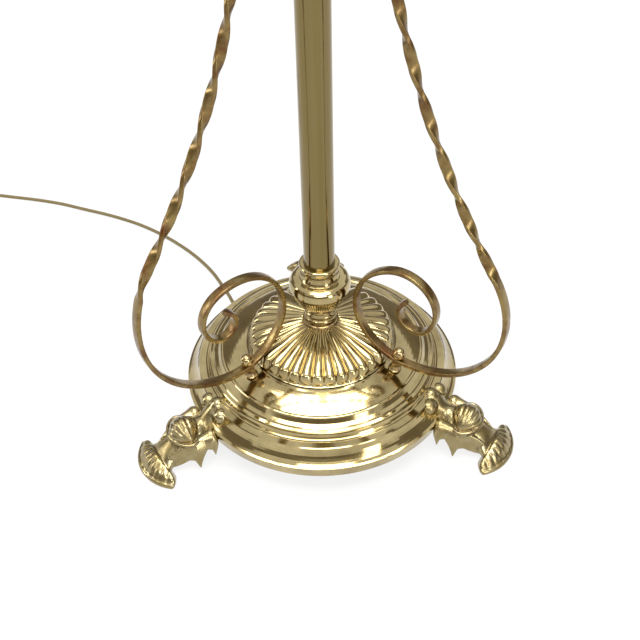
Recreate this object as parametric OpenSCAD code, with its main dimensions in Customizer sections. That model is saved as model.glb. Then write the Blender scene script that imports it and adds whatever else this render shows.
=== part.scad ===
// Adjustable floor lamp: a stepped brass base on three leaf feet, a telescopic column
// braced by three twisted stays, and a bayonet lampholder under a conical shade.
// Millimetres, +Z up. The origin is on the floor, on the column's axis.
// The feet and stays stand at 210, 330 and 90 degrees from +X.

/* [Base] */
// Radius of the base at its widest ring
rim_r = 134; // [130:0.5:140]
// Height of the shell's lower edge above the floor
base_lift = 23.3; // [21:0.1:26]
// Height of the plain wall below the rim
wall_h = 10.2; // [9:0.1:12]
// Thickness of the spun brass shell
shell_t = 1.6; // [1.2:0.1:2]
// Width of the broad cove inside the rim
cove_w = 10; // [9:0.1:11]
// Height of the broad cove
cove_h = 15; // [14:0.1:16]
// Width of the first flat step
step_w = 6.6; // [6:0.1:7.5]
// Rise of the small cove between the first and the second step
riser_h = 7.2; // [6.6:0.1:8]
// Rise of the last step below the dome
last_rise = 6.6; // [6:0.1:7.2]
// Radius of the arc of the plain dome
dome_arc = 84; // [74:1:100]
// Thickness of the bottom plate
plate_t = 2; // [1.5:0.1:3]
// Distance from the rim in to the edge of the iron weight
weight_inset = 19; // [17:0.5:22]

/* [Gadrooned cap] */
// Radius of the cap at its plain border
cap_r = 71; // [69:0.1:72]
// Height of the cap from its border to its flat top
cap_h = 24.7; // [23.5:0.1:26]
// Number of gadroons
gadroons = 36; // [24:1:36]
// Depth of the valleys between the gadroons
gadroon_depth = 3.2; // [2.4:0.1:3.4]

/* [Knob and column] */
// Radius of the knob's bulb
bulb_r = 29; // [27:0.1:31]
// Height of the turned foot of the knob
knob_foot_h = 14; // [12:0.1:18]
// Height of the undercut cup of the knob
knob_cup_h = 25; // [22:0.1:28]
// Height of the bulb above its widest ring
knob_bulb_h = 12.5; // [11:0.1:15]
// Height of the neck and lip above the bulb
knob_neck_h = 17; // [15:0.1:20]
// Outer radius of the outer tube
tube_r = 14.3; // [14:0.05:14.6]
// Wall of the outer tube
tube_wall = 1.6; // [1.4:0.05:1.8]
// Height of the outer tube's top edge above the floor
column_h = 1040; // [960:5:1100]
// Outer radius of the inner tube
rod_r = 11.1; // [10.9:0.05:11.3]
// Wall of the inner tube
rod_wall = 1.2; // [1:0.05:1.4]
// Travel of the inner tube
travel = 420; // [300:5:420]
// Height of the inner tube's top above the outer tube at rest
rod_show = 120; // [110:1:150]
// Outer radius of the threaded tie tube
tie_r = 6.5; // [6:0.1:7]

/* [Feet] */
// Radius of the shell toe
toe_r = 43.8; // [40:0.1:46]
// Distance of the toe's centre outside the rim
toe_out = 25.7; // [24:0.1:28]
// Height of the toe's ridge
ridge_h = 17; // [14:0.1:19]
// Half of the width of the foot's body
foot_half = 20; // [18:0.1:22]
// Number of ribs on the toe
toe_ribs = 9; // [7:1:11]

/* [Stays] */
// Distance of the posts from the axis
post_r = 81.15; // [80:0.05:82.5]
// Lean of the posts away from the axis
post_lean = 10; // [8:0.5:12]
// Height of the turned spool under the strip
spool_h = 12.2; // [11.8:0.1:13.5]
// Turn of the front posts and stays away from their feet, towards the front
stay_swing = 2.9; // [2:0.1:3.5]
// Width of the strip
strip_w = 8.8; // [8:0.1:11]
// Thickness of the strip
strip_t = 4.2; // [3:0.1:4.6]
// Radius of the large loop of the scroll
loop_r = 54.5; // [53:0.1:56]
// Radius of the middle turn of the scroll
mid_r = 31; // [29.5:0.1:32.5]
// Radius of the innermost curl
curl_r = 15; // [14:0.1:16]
// Radius of the outer bow
bow_r = 100; // [96:0.5:104]
// Radius of the long easy bend above the bow
long_r = 640; // [600:5:680]
// Length of one half turn of the twist
half_turn = 47; // [42:1:56]
// Height of the collar that holds the stays to the column
stay_top = 690; // [670:5:720]
// Radius of the ball nuts
ball_r = 6.25; // [5.5:0.05:7]

/* [Lampholder and shade] */
// Outer radius of the lampholder's body
holder_r = 17.3; // [16.5:0.1:18]
// Travel of the switch bar from off to on
switch_travel = 6; // [4:0.5:6]
// Radius of the bulb's glass
glass_r = 30; // [26:0.5:32]
// Radius of the shade at its bottom edge
shade_r = 240; // [225:1:260]
// Radius of the shade at its top edge
shade_top_r = 140; // [120:1:150]
// Height of the shade
shade_h = 260; // [240:1:280]
// Thickness of the shade's stiff lining
shade_t = 0.8; // [0.6:0.1:1.2]

/* [Cord] */
// Diameter of the cord
cord_d = 4; // [3.6:0.1:4.2]
// Length of the strain relief
boot_len = 22; // [20:1:24]
// Loops of the coil, counted in turns
coil_turns = 9.75; // [7.75:1:11.75]
// Radius of the coil at the middle of its turns
coil_mid = 22.25; // [21:0.25:24]
// Distance from one loop of the coil to the next
coil_step = 5; // [4.8:0.1:5.4]

/* [Clearances] */
// Running fit on the radius
run_fit = 0.05; // [0.02:0.01:0.08]
// Clearance between a casting and the shell that it lies on
cast_gap = 0.25; // [0.15:0.05:0.4]

/* [Hidden] */
$fn = 64;
// Colours of the finishes
brass = "goldenrod";
satin = "darkgoldenrod";
steel = "silver";
// Azimuths of the front left, front right and back foot and stay
spokes = [210, 330, 90];
stay_spokes = [spokes[0] + stay_swing, spokes[1] - stay_swing, spokes[2]];

// General helpers

// Points on an arc round centre c
function arc(c, r, a0, a1, n) =
    [for (i = [0:n]) let (a = a0 + (a1 - a0) * i / n) c + r * [cos(a), sin(a)]];
// Centre of the circle of radius r through p and q, on the right hand side of p to q
function centre_of(p, q, r) =
    let (m = (p + q) / 2, d = q - p, l = norm(d), h = sqrt(r * r - l * l / 4))
    m + h * [d[1], -d[0]] / l;
// Points from p to q on that circle
function arc_to(p, q, r, n, side = 1) =
    let (c = side > 0 ? centre_of(p, q, r) : centre_of(q, p, r),
         a = atan2(p[1] - c[1], p[0] - c[0]), b = atan2(q[1] - c[1], q[0] - c[0]),
         s = b - a > 180 ? b - a - 360 : (b - a < -180 ? b - a + 360 : b - a))
    [for (i = [0:n]) c + r * [cos(a + s * i / n), sin(a + s * i / n)]];
// Outline moved sideways by t, each point along its own normal
function inset(p, t) =
    [for (i = [0:len(p) - 1])
        let (a = p[max(i - 1, 0)], b = p[min(i + 1, len(p) - 1)], d = (b - a) / norm(b - a))
        p[i] + t * [-d[1], d[0]]];
function reversed(p) = [for (i = [len(p) - 1:-1:0]) p[i]];

// Skin over rings of n points each: closed along the ring, capped at both ends
module skin(rings) {
    n = len(rings[0]);
    m = len(rings);
    pts = [for (r = rings) for (q = r) q];
    side = [for (j = [0:m - 2]) for (i = [0:n - 1])
        let (a = j * n + i, b = j * n + (i + 1) % n)
        each [[a, b, b + n], [a, b + n, a + n]]];
    first = [[for (i = [0:n - 1]) n - 1 - i]];
    last = [[for (i = [0:n - 1]) (m - 1) * n + i]];
    polyhedron(pts, concat(side, first, last), convexity = 10);
}
// Each post and stay stands on its own spoke, a little turned from the foot below it
module at_stay(i) {
    rotate([0, 0, stay_spokes[i]]) children();
}
// Each foot and its screw stand on one of the three spokes
module at_spoke(i) {
    rotate([0, 0, spokes[i]]) children();
}
// A ring with a bore, from z0 up
module tube(z0, h, ro, ri) {
    translate([0, 0, z0]) difference() {
        cylinder(h = h, r = ro);
        translate([0, 0, -1]) cylinder(h = h + 2, r = ri);
    }
}

// Base shell

rim_z = base_lift + wall_h;
cove_foot = [rim_r - 2.5, rim_z + 0.3];
cove_top = [rim_r - 2.5 - cove_w + 0.3, rim_z + 0.3 + cove_h - 0.8];
step1 = [rim_r - 2.5 - cove_w - 0.5, rim_z + 0.3 + cove_h];
bead_c = [step1[0] - step_w - 1.4, step1[1] + 0.9];
riser_top = [bead_c[0] - 2.6, step1[1] + riser_h];
step2 = [riser_top[0] - 8.6, riser_top[1] + 3.6];
last_top = [step2[0] - 2.2, step2[1] + last_rise - 3.2];
dome_foot = [last_top[0] - 5.6, last_top[1] + 1.3];
dome_top = [cap_r + 2.2, dome_foot[1] + 7];
dome_c = centre_of(dome_top, dome_foot, dome_arc);
// Height of the dome's surface at radius r
function dome_z(r) = dome_c[1] + sqrt(dome_arc * dome_arc - (r - dome_c[0]) * (r - dome_c[0]));
// Gadrooned cap

cap_z = dome_top[1] + 2.05;
cap_top = cap_z + cap_h;
cap_flat = 18;
// Crest outline of the cap: [radius, height, depth of the valley, lean of the surface]
cap_rows = [
    [cap_r, cap_z + 1.6, 0, 90],
    [cap_r - 1, cap_z + 2.5, 0.2, 80],
    [cap_r - 1.4, cap_z + 0.26 * cap_h, 0.9, 86],
    [cap_r - 2.8, cap_z + 0.4 * cap_h, 1, 70],
    [cap_r - 5, cap_z + 0.51 * cap_h, 1, 44],
    [cap_r - 11, cap_z + 0.62 * cap_h, 0.95, 22],
    [cap_r - 21, cap_z + 0.733 * cap_h, 0.78, 15],
    [cap_r - 39, cap_z + 0.89 * cap_h, 0.5, 12],
    [cap_flat, cap_top, 0.2, 10]];
// Underside of the cap, moved inwards by g
function cap_inner(g) = concat(
    [[cap_r - 2.6 - g, cap_z + 2.2]],
    [for (i = [2, 4, 5, 7])
        let (q = cap_rows[i], s = q[2] * gadroon_depth + 1.1 + g)
        [q[0] - s * sin(q[3]), q[1] - s * cos(q[3])]],
    [[cap_flat, cap_top - 2.1 - g], [tie_r + 0.6, cap_top - 2.1 - g]]);
// Visible outline of the shell, from the lower edge of the wall to the cap
ledge_z = dome_top[1] + 2;
shell_cove = arc_to(cove_foot, cove_top, 31, 7, 1);
shell_dome = reversed(arc_to(dome_top, dome_foot, dome_arc, 8, 1));
shell_out = concat(
    [[rim_r - 1, base_lift], [rim_r, rim_z - 1.2], [rim_r - 0.4, rim_z - 0.3]],
    [[rim_r - 1.4, rim_z]],
    shell_cove,
    [step1, [bead_c[0] + 1.7, step1[1] + 0.4]],
    arc(bead_c, 1.5, 10, 120, 3),
    arc_to([bead_c[0] - 0.9, bead_c[1] + 1.5], riser_top, 9, 4, 1),
    [[riser_top[0] - 0.8, riser_top[1] + 0.7], [riser_top[0] - 3.2, riser_top[1] + 1.4]],
    [[riser_top[0] - 4.2, riser_top[1] + 1.2], [riser_top[0] - 5.1, riser_top[1] + 2.1]],
    [step2, last_top],
    arc([last_top[0] - 2.4, last_top[1] - 1], 2.6, 22, 100, 4),
    [[last_top[0] - 4.3, last_top[1] + 0.7]],
    shell_dome,
    [[dome_top[0] - 1.4, dome_top[1] + 0.9], [cap_r + 0.2, ledge_z]],
    [[cap_r - 2.95, ledge_z]],
    cap_inner(0.35));
// Inner side of the sheet, a little simpler than the outer one
shell_in = concat(
    [[rim_r - 1 - shell_t, base_lift], [rim_r - shell_t, rim_z - 1.6]],
    inset(shell_cove, shell_t),
    [[step1[0] - 1.1, step1[1] - shell_t], [bead_c[0] + 0.2, step1[1] + 0.4 - shell_t]],
    [[riser_top[0] - 1.4, riser_top[1] - 1.2], [step2[0] - 0.8, step2[1] - shell_t]],
    [[last_top[0] - 1.5, last_top[1] - 0.6], [last_top[0] - 4.3, last_top[1] + 0.7 - shell_t]],
    inset(shell_dome, shell_t),
    [[cap_r + 0.4, ledge_z - shell_t], [cap_r - 3.4 - shell_t, ledge_z - shell_t]],
    cap_inner(0.35 + shell_t));

module gadrooned_cap() {
    per = 4;
    n = gadroons * per;
    lift = [0, 0.78, 1, 0.78];
    outer = [for (q = cap_rows) [for (i = [0:n - 1])
        let (s = q[2] * gadroon_depth * (1 - lift[i % per]), r = q[0] - s * sin(q[3]),
             a = 360 * i / n)
        [r * cos(a), r * sin(a), q[1] - s * cos(q[3])]]];
    under = reversed(cap_inner(0));
    inner = [for (q = under) [for (i = [0:n - 1])
        [q[0] * cos(360 * i / n), q[0] * sin(360 * i / n), q[1]]]];
    foot = [for (q = [[cap_r - 2.6, cap_z], [cap_r, cap_z]]) [for (i = [0:n - 1])
        [q[0] * cos(360 * i / n), q[0] * sin(360 * i / n), q[1]]]];
    top = [[for (i = [0:n - 1])
        [(tie_r + 0.6) * cos(360 * i / n), (tie_r + 0.6) * sin(360 * i / n), cap_top]]];
    rings = concat(foot, outer, top, inner);
    m = len(rings);
    color(brass) polyhedron([for (r = rings) for (q = r) q],
        [for (j = [0:m - 1]) for (i = [0:n - 1])
            let (k = (j + 1) % m, a = j * n + i, b = j * n + (i + 1) % n,
                 c = k * n + (i + 1) % n, d = k * n + i)
            each [[a, c, b], [a, d, c]]], convexity = 10);
}

// Inside of the base

hub_r = 16;
nut_pocket_r = 22;
weight_top = rim_z + 14;
foot_bolt_r = 3;
foot_bolt_x = rim_r - 23;
weight_r = rim_r - weight_inset;
clamp_bolt_r = 1.5;
cord_r = cord_d / 2;
// Where the cord enters its strain relief under the base, and its heading there
boot_from = [-62, 42];
boot_dir = 109.6;
boot_z = base_lift - 6.3;
module at_boot() {
    translate([boot_from[0], boot_from[1], boot_z]) rotate([0, 0, boot_dir]) children();
}
module base_shell() {
    color(brass) difference() {
        rotate_extrude() polygon(concat(shell_out, reversed(shell_in)));
        for (i = [0:2]) at_post(i) translate([0, 0, -8]) cylinder(h = 12, r = stud_r + 0.15);
    }
}
module base_weight() {
    color("dimgray") difference() {
        rotate_extrude() polygon([
            [tie_r + 0.2, base_lift + plate_t + 13], [nut_pocket_r, base_lift + plate_t + 13],
            [nut_pocket_r, base_lift + plate_t], [weight_r, base_lift + plate_t],
            [weight_r, rim_z + 4], [weight_r - 11, rim_z + 10], [weight_r - 22, weight_top],
            [tie_r + 0.2, weight_top]]);
        for (i = [0:2]) at_spoke(i) translate([foot_bolt_x, 0, base_lift])
            cylinder(h = 17, r = foot_bolt_r + run_fit);
        at_clamp_bolts() translate([0, 0, base_lift]) cylinder(h = 12, r = clamp_bolt_r + run_fit);
    }
}
module bottom_plate() {
    color("dimgray") difference() {
        tube(base_lift, plate_t, rim_r - 1 - shell_t - 0.6, nut_pocket_r + 2);
        for (i = [0:2]) at_spoke(i) translate([foot_bolt_x, 0, base_lift - 1])
            cylinder(h = plate_t + 2, r = foot_bolt_r + 0.3);
        at_clamp_bolts() translate([0, 0, base_lift - 1])
            cylinder(h = plate_t + 2, r = clamp_bolt_r + 0.2);
    }
}
module hub_spacer() {
    shell_under = cap_top - 2.45 - shell_t;
    color(steel) tube(weight_top, shell_under - weight_top - 0.05, hub_r, tie_r + 0.2);
}
tie_bottom = base_lift + plate_t + 2.5;
tie_nut_h = 8;
module tie_tube() {
    color(steel) tube(tie_bottom, socket_z + 30 - tie_bottom, tie_r, tie_r - 1.5);
}
module tie_nut() {
    z = base_lift + plate_t + 13 - tie_nut_h;
    color(steel) difference() {
        union() {
            translate([0, 0, z]) cylinder(h = tie_nut_h - 1.6, r = 12.5, $fn = 6);
            translate([0, 0, z + tie_nut_h - 1.65]) cylinder(h = 1.6, r = nut_pocket_r - 4);
        }
        translate([0, 0, z - 1]) cylinder(h = tie_nut_h + 2, r = tie_r + run_fit);
    }
}

// Knob: washer, foot, cup, bulb and neck, stacked on the tie tube

washer_t = 2.6;
foot_z = cap_top + washer_t;
cup_z = foot_z + knob_foot_h;
ridge_z = cup_z + knob_cup_h;
neck_z = ridge_z + knob_bulb_h;
lip_z = neck_z + knob_neck_h;
socket_z = cup_z + 6;
bore_big = tube_r + 0.3;
cup_bottom_r = 15.2;
module cap_washer() {
    color("rosybrown") difference() {
        rotate_extrude() polygon([[tie_r + 0.2, cap_top], [17.4, cap_top],
            [17, foot_z - 0.6], [16, foot_z], [tie_r + 0.2, foot_z]]);
    }
}
module knob_foot() {
    h = knob_foot_h;
    color(brass) rotate_extrude() polygon(concat(
        [[tie_r + 0.2, foot_z], [14, foot_z]],
        arc([13.2, foot_z + 0.19 * h], 1.9, -60, 70, 5),
        [[13.6, foot_z + 0.4 * h], [14.2, foot_z + 0.45 * h]],
        arc([13.4, foot_z + 0.68 * h], 2.1, -55, 60, 5),
        [[14.2, foot_z + 0.9 * h], [15, foot_z + h], [tie_r + 0.2, foot_z + h]]));
}
module knob_cup() {
    h = knob_cup_h;
    color(brass) rotate_extrude() polygon(concat(
        [[tie_r + 0.2, cup_z], [cup_bottom_r, cup_z]],
        arc_to([cup_bottom_r + 0.6, cup_z + 0.7], [bulb_r - 1.6, ridge_z - 1.9], 70, 8, -1),
        [[bulb_r - 1.3, ridge_z], [tube_r + 4, ridge_z], [tube_r + 4, socket_z],
        [tie_r + 0.2, socket_z]]));
}
module knob_bulb() {
    h = knob_bulb_h;
    top_r = 19;
    color(brass) rotate_extrude() polygon(concat(
        [[bore_big, ridge_z], [bulb_r - 0.9, ridge_z], [bulb_r - 0.2, ridge_z + 0.7]],
        [for (a = [8:8:72]) let (t = (a - 8) / 64)
            [top_r + (bulb_r - top_r) * pow(cos(90 * t), 0.62),
             ridge_z + 2 + (h - 2.2) * pow(sin(90 * t), 0.95)]],
        [[top_r - 0.4, neck_z], [bore_big, neck_z]]));
}
module knob_neck() {
    h = knob_neck_h;
    color(brass) rotate_extrude() polygon(concat(
        [[bore_big, neck_z], [18.8, neck_z], [18.8, neck_z + 0.8]],
        arc_to([18.4, neck_z + 1.2], [17.4, neck_z + 0.62 * h], 9, 6, 1),
        [[18.2, neck_z + 0.66 * h]],
        arc([16.9, neck_z + h - 2.2], 2.2, -50, 90, 6),
        [[bore_big, neck_z + h]]));
}
module tube_socket() {
    color(satin) difference() {
        union() {
            translate([0, 0, socket_z]) cylinder(h = 6, r = tube_r + 3.6);
            translate([0, 0, socket_z]) cylinder(h = 40, r = tube_r - tube_wall - run_fit);
        }
        translate([0, 0, socket_z - 1]) cylinder(h = 42, r = tie_r + run_fit);
    }
}
module outer_tube() {
    z = socket_z + 6;
    color(brass) tube(z, column_h - z, tube_r, tube_r - tube_wall);
}

// Feet, drawn along +X and then turned; x is measured from the rim, outwards

module foot_body() {
    // [x, half width, top, bottom] along the foot
    rows = [[-17.5, 5, 49.5, 40], [-14, 8.5, 51, 34], [-7, 10, 46.5, 30], [0, 10.5, 40, 18],
        [4, 13, 37.5, 12], [10, foot_half - 2, 37, 9], [19, foot_half + 1, 35, 7],
        [29, foot_half + 2, 32.5, 5.5], [38, foot_half, 28.5, 4.5], [45, foot_half - 3, 23.5, 3.5],
        [50, foot_half - 3.5, 15, 2.5], [56, foot_half - 4, 9, 2]];
    n = 16;
    skin([for (q = rows)
        let (w = q[1], zm = q[3] + 0.35 * (q[2] - q[3]), up = q[2] - zm, dn = zm - q[3])
        [for (i = [0:n - 1])
            let (a = -360 * i / n + 11.25, s = sin(a), c = cos(a))
            [rim_r + q[0], w * c, zm + (s > 0 ? up * s : dn * sign(s) * pow(-s, 0.5))]]]);
}
// Acanthus leaf on one side: it rolls over a shoulder and hangs down in two pointed tips
module foot_leaf(side) {
    // [x, top, shoulder, edge], the last three as [half width, height]
    rows = [[-4, [14, 34], [18, 31], [20, 27]], [-1, [17, 35], [23, 31], [27, 24]],
        [1.5, [18, 35.5], [24.5, 30.5], [28.5, 19]], [3.6, [18.5, 35], [25, 29], [28, 15.5]],
        [6, [19, 34], [25, 28], [27.5, 20.5]], [10, [19, 33], [24, 27], [25.5, 21.5]],
        [15, [19, 32], [24.5, 25], [27, 16]], [18.4, [19.5, 31], [25, 23.5], [28, 10]],
        [20.4, [19.5, 30.5], [25, 23], [28, 7.5]], [23.5, [20, 30], [25, 22], [26.5, 12.5]],
        [28, [20, 29], [24.5, 20], [25.5, 12]], [33, [19, 27], [24, 18], [25, 9]],
        [39, [17, 24], [21.5, 15], [22.5, 7]], [45, [12, 19], [16, 12], [17, 6]]];
    skin([for (q = rows)
        let (p = [q[1], q[2], q[3], q[3] - [4.5, -0.8], [11, q[2][1] - 2], [11, q[1][1] - 2]],
             r = side > 0 ? p : reversed(p))
        [for (k = r) [rim_r + q[0], side * k[0], k[1]]]]);
}
// Ribbed almond on the instep, its ribs running from tip to tip across the foot
module foot_cabochon() {
    ribs = 7;
    n = ribs * 2;
    half = 17;
    c = [rim_r + 21.5, 0, 30.5];
    skin([for (j = [0:8])
        let (t = -1 + 2 * j / 8, r = 0.6 + 12.4 * pow(cos(90 * t * 0.97), 0.75))
        concat([for (i = [0:n]) let (a = -4 + 188 * i / n, k = i % 2 == 0 ? 0.9 : 1)
            [c[0] + r * k * cos(a), c[1] + half * t, c[2] + (r * k + 1) * sin(a)]],
            [[c[0] - 0.8 * r, c[1] + half * t, c[2] - 4], [c[0] + 0.8 * r, c[1] + half * t, c[2] - 4]])]);
    // Raised border of the almond
    edge = [for (i = [0:15]) let (a = -360 * i / 16)
        [15.6 * sign(cos(a)) * pow(abs(cos(a)), 1.15), 21 * sin(a)]];
    skin([for (q = [[c[2] - 4, 1], [c[2] + 2.2, 0.97]])
        [for (e = edge) [c[0] + e[0] * q[1], e[1] * q[1], q[0]]]]);
}
// Shell toe: ribs fan out from the ridge to a plain lip on the floor
module foot_toe() {
    half = 53;
    n = toe_ribs * 2;
    c = rim_r + toe_out;
    skin([for (i = [0:n])
        let (a = half * (2 * i / n - 1), u = abs(a) / half, k = i % 2 == 0 ? 0 : 1.2,
             r0 = toe_r * (0.61 + 0.2 * pow(u, 3)), z0 = ridge_h - (ridge_h - 7) * pow(u, 1.6),
             r1 = toe_r - 4.8, z1 = 5.2,
             out = [[r0 - 6, 0], [toe_r - 1, 0], [toe_r, 1.4], [toe_r - 1.4, 4.6], [r1, z1],
                 [r1 + 0.35 * (r0 - r1), z1 + 0.5 * (z0 - z1) + k],
                 [r1 + 0.75 * (r0 - r1), z1 + 0.85 * (z0 - z1) + k], [r0, z0], [r0 - 2.4, z0 - 3]])
        [for (q = out) [c + q[0] * cos(a), q[0] * sin(a), q[1]]]]);
}
// Space taken by the shell, with a little clearance
module shell_space() {
    rotate_extrude() polygon(concat(
        [[90, base_lift - cast_gap], [rim_r - 1 + cast_gap, base_lift - cast_gap]],
        [[rim_r + cast_gap, rim_z - 1.2], [rim_r + cast_gap - 0.4, rim_z + cast_gap - 0.3]],
        [[rim_r - 1.4, rim_z + cast_gap]],
        inset(shell_cove, -cast_gap),
        [[step1[0], step1[1] + cast_gap], [bead_c[0] + 1.7, step1[1] + 0.4 + cast_gap]],
        [[bead_c[0] + 1.2, bead_c[1] + 2.2], [bead_c[0] - 1, riser_top[1] + 3], [90, riser_top[1] + 3]]));
}
module foot(i) {
    lug_top = base_lift - cast_gap;
    color(brass) at_spoke(i) difference() {
        union() {
            foot_body();
            foot_leaf(1);
            foot_leaf(-1);
            foot_cabochon();
            foot_toe();
            translate([rim_r - 15.6, 0, 46.5]) sphere(r = 6.6, $fn = 32);
            translate([rim_r - 12.6, 11.5, 44]) sphere(r = 6.6, $fn = 32);
            translate([rim_r - 12.6, -11.5, 44]) sphere(r = 6.6, $fn = 32);
            translate([foot_bolt_x - 8, -9, lug_top - 8])
                cube([rim_r + 14 - foot_bolt_x + 8, 18, 8]);
        }
        shell_space();
        translate([foot_bolt_x, 0, lug_top - 9]) cylinder(h = 10, r = foot_bolt_r + 0.3);
    }
}
module foot_screws() {
    head_z = base_lift - cast_gap - 8;
    color(steel) for (i = [0:2]) at_spoke(i) translate([foot_bolt_x, 0, head_z]) {
        cylinder(h = 23, r = foot_bolt_r);
        translate([0, 0, -4]) difference() {
            cylinder(h = 4, r = 5);
            translate([0, 0, -1]) cylinder(h = 3.4, r = 2.9, $fn = 6);
        }
    }
}

// Posts and ball nuts, in a frame whose +Z leans with the dome

stud_r = 2.5;
module at_post(i) {
    at_stay(i) translate([post_r, 0, dome_z(post_r)]) rotate([0, post_lean, 0]) children();
}
module stay_posts() {
    h = spool_h;
    color(brass) for (i = [0:2]) at_post(i) difference() {
        rotate_extrude() polygon([[stud_r + run_fit, 0.8], [6.3, 0.8], [6.3, 1.9], [5.6, 2.5],
            [4, 0.45 * h], [3.9, 0.55 * h], [4.9, h - 1.8], [5.3, h - 1.2], [5.3, h],
            [stud_r + run_fit, h]]);
    }
}
module post_studs() {
    color(steel) for (i = [0:2]) at_post(i) translate([0, 0, -shell_t - 5.2])
        cylinder(h = shell_t + 5.2 + spool_h + strip_t + ball_r, r = stud_r);
}
module post_nuts() {
    color(steel) for (i = [0:2]) at_post(i) translate([0, 0, -shell_t - 4.6]) difference() {
        cylinder(h = 4, r = 4.4, $fn = 6);
        translate([0, 0, -1]) cylinder(h = 6, r = stud_r + run_fit);
    }
}
module ball_nuts() {
    c = spool_h + strip_t + 0.3;
    color(brass) for (i = [0:2]) at_post(i) difference() {
        intersection() {
            translate([0, 0, c + ball_r - 0.6]) sphere(r = ball_r);
            translate([0, 0, c]) cylinder(h = 3 * ball_r, r = 2 * ball_r);
        }
        translate([0, 0, c - 1]) cylinder(h = ball_r + 1.4, r = stud_r + run_fit);
    }
}

// Stays: a strip swept along arcs in an upright plane through the axis

// The middle of the strip over the post
clamp_pt = [post_r, dome_z(post_r)] + (spool_h + 0.05 + strip_t / 2) * [sin(post_lean), cos(post_lean)];
// End of an arc that starts at p with heading h: radius r (positive turns left), sweep s
function arc_end(p, h, r, s) =
    let (k = h + sign(r) * s) p + r * [-sin(h), cos(h)] + r * [sin(k), -cos(k)];
function arc_run(p, h, r, s, n, from = 1) =
    [for (i = [from:n]) let (a = s * i / n) [arc_end(p, h, r, a), h + sign(r) * a]];
// Each stay is bent by hand, so their bends differ a little. One row for each stay:
// factor on the radius and sweep of the large loop, of the middle turn and of the curl;
// outward rest of the loop; factor and sweep of the bow and the easy bend;
// start of the twist after the bow; sideways lean of the scroll and the bow
bends = [
    [0.994, 186.8, 0.885, 136.2, 0.904, 196.4, 22.7, 1.092, 115.9, 0.833, 22.2, 12, 6.6],
    [1.007, 149.5, 1.103, 149.6, 1.093, 197.4, 7.5, 0.903, 126, 1.183, 18.7, -12, -1.96],
    [1, 165, 1, 143, 1, 197, 15, 1, 121, 1, 20.3, 0, 0]];
collar_flat = tube_r + 4.2;
stay_top_r = collar_flat + strip_t / 2 + 0.05;
collar_h = 24;
stay_end = 26;
// Path of stay i from the curl's tip to the collar: [point, heading, length since the bow]
function stay_path(i) =
    let (v = bends[i], h0 = -post_lean,
        r1 = loop_r * v[0], r2 = mid_r * v[2], r3 = curl_r * v[4], r4 = bow_r * v[7],
        r5 = long_r * v[9],
        q1 = arc_end(clamp_pt, h0 + 180, -r1, v[1]), h1 = h0 + 180 - v[1],
        q2 = arc_end(q1, h1, -r2, v[3]), h2 = h1 - v[3],
        inward = concat(arc_run(clamp_pt, h0 + 180, -r1, v[1], 20),
            arc_run(q1, h1, -r2, v[3], 12), arc_run(q2, h2, -r3, v[5], 13)),
        q3 = arc_end(clamp_pt, h0, r1, v[6]), h3 = h0 + v[6],
        q4 = arc_end(q3, h3, r4, v[8]), h4 = h3 + v[8],
        q5 = arc_end(q4, h4, -r5, v[10]), h5 = h4 - v[10],
        // The straight and the last bend are solved so that the end meets the collar
        dx = stay_top_r - q5[0], dz = stay_top - q5[1],
        r6 = (dz * cos(h5) - dx * sin(h5)) / (sin(h5) - 1),
        line = (dx + r6 * (1 - sin(h5))) / cos(h5),
        q6 = q5 + line * [cos(h5), sin(h5)],
        l4 = r4 * v[8] * PI / 180, l5 = r5 * v[10] * PI / 180,
        l6 = l5 + line, l7 = l6 + r6 * (h5 - 90) * PI / 180,
        n5 = round(l5 / 7.5), n6 = max(1, round(line / 7.5)), n7 = round((l7 - l6) / 7.5))
    concat([for (q = reversed(inward)) [q[0], q[1] + 180, -l4]],
        [[clamp_pt, h0, -l4]],
        [for (q = arc_run(clamp_pt, h0, r1, v[6], 3)) [q[0], q[1], -l4]],
        [for (k = [1:18]) let (a = v[8] * k / 18)
            [arc_end(q3, h3, r4, a), h3 + a, l4 * (k / 18 - 1)]],
        [for (k = [1:n5]) let (a = v[10] * k / n5) [arc_end(q4, h4, -r5, a), h4 - a, l5 * k / n5]],
        [for (k = [1:n6]) [q5 + line * k / n6 * [cos(h5), sin(h5)], h5, l5 + line * k / n6]],
        [for (k = [1:n7]) let (a = (h5 - 90) * k / n7)
            [arc_end(q6, h5, -r6, a), h5 - a, l6 + (l7 - l6) * k / n7]],
        [[[stay_top_r, stay_top + stay_end], 90, l7]]);
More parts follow.
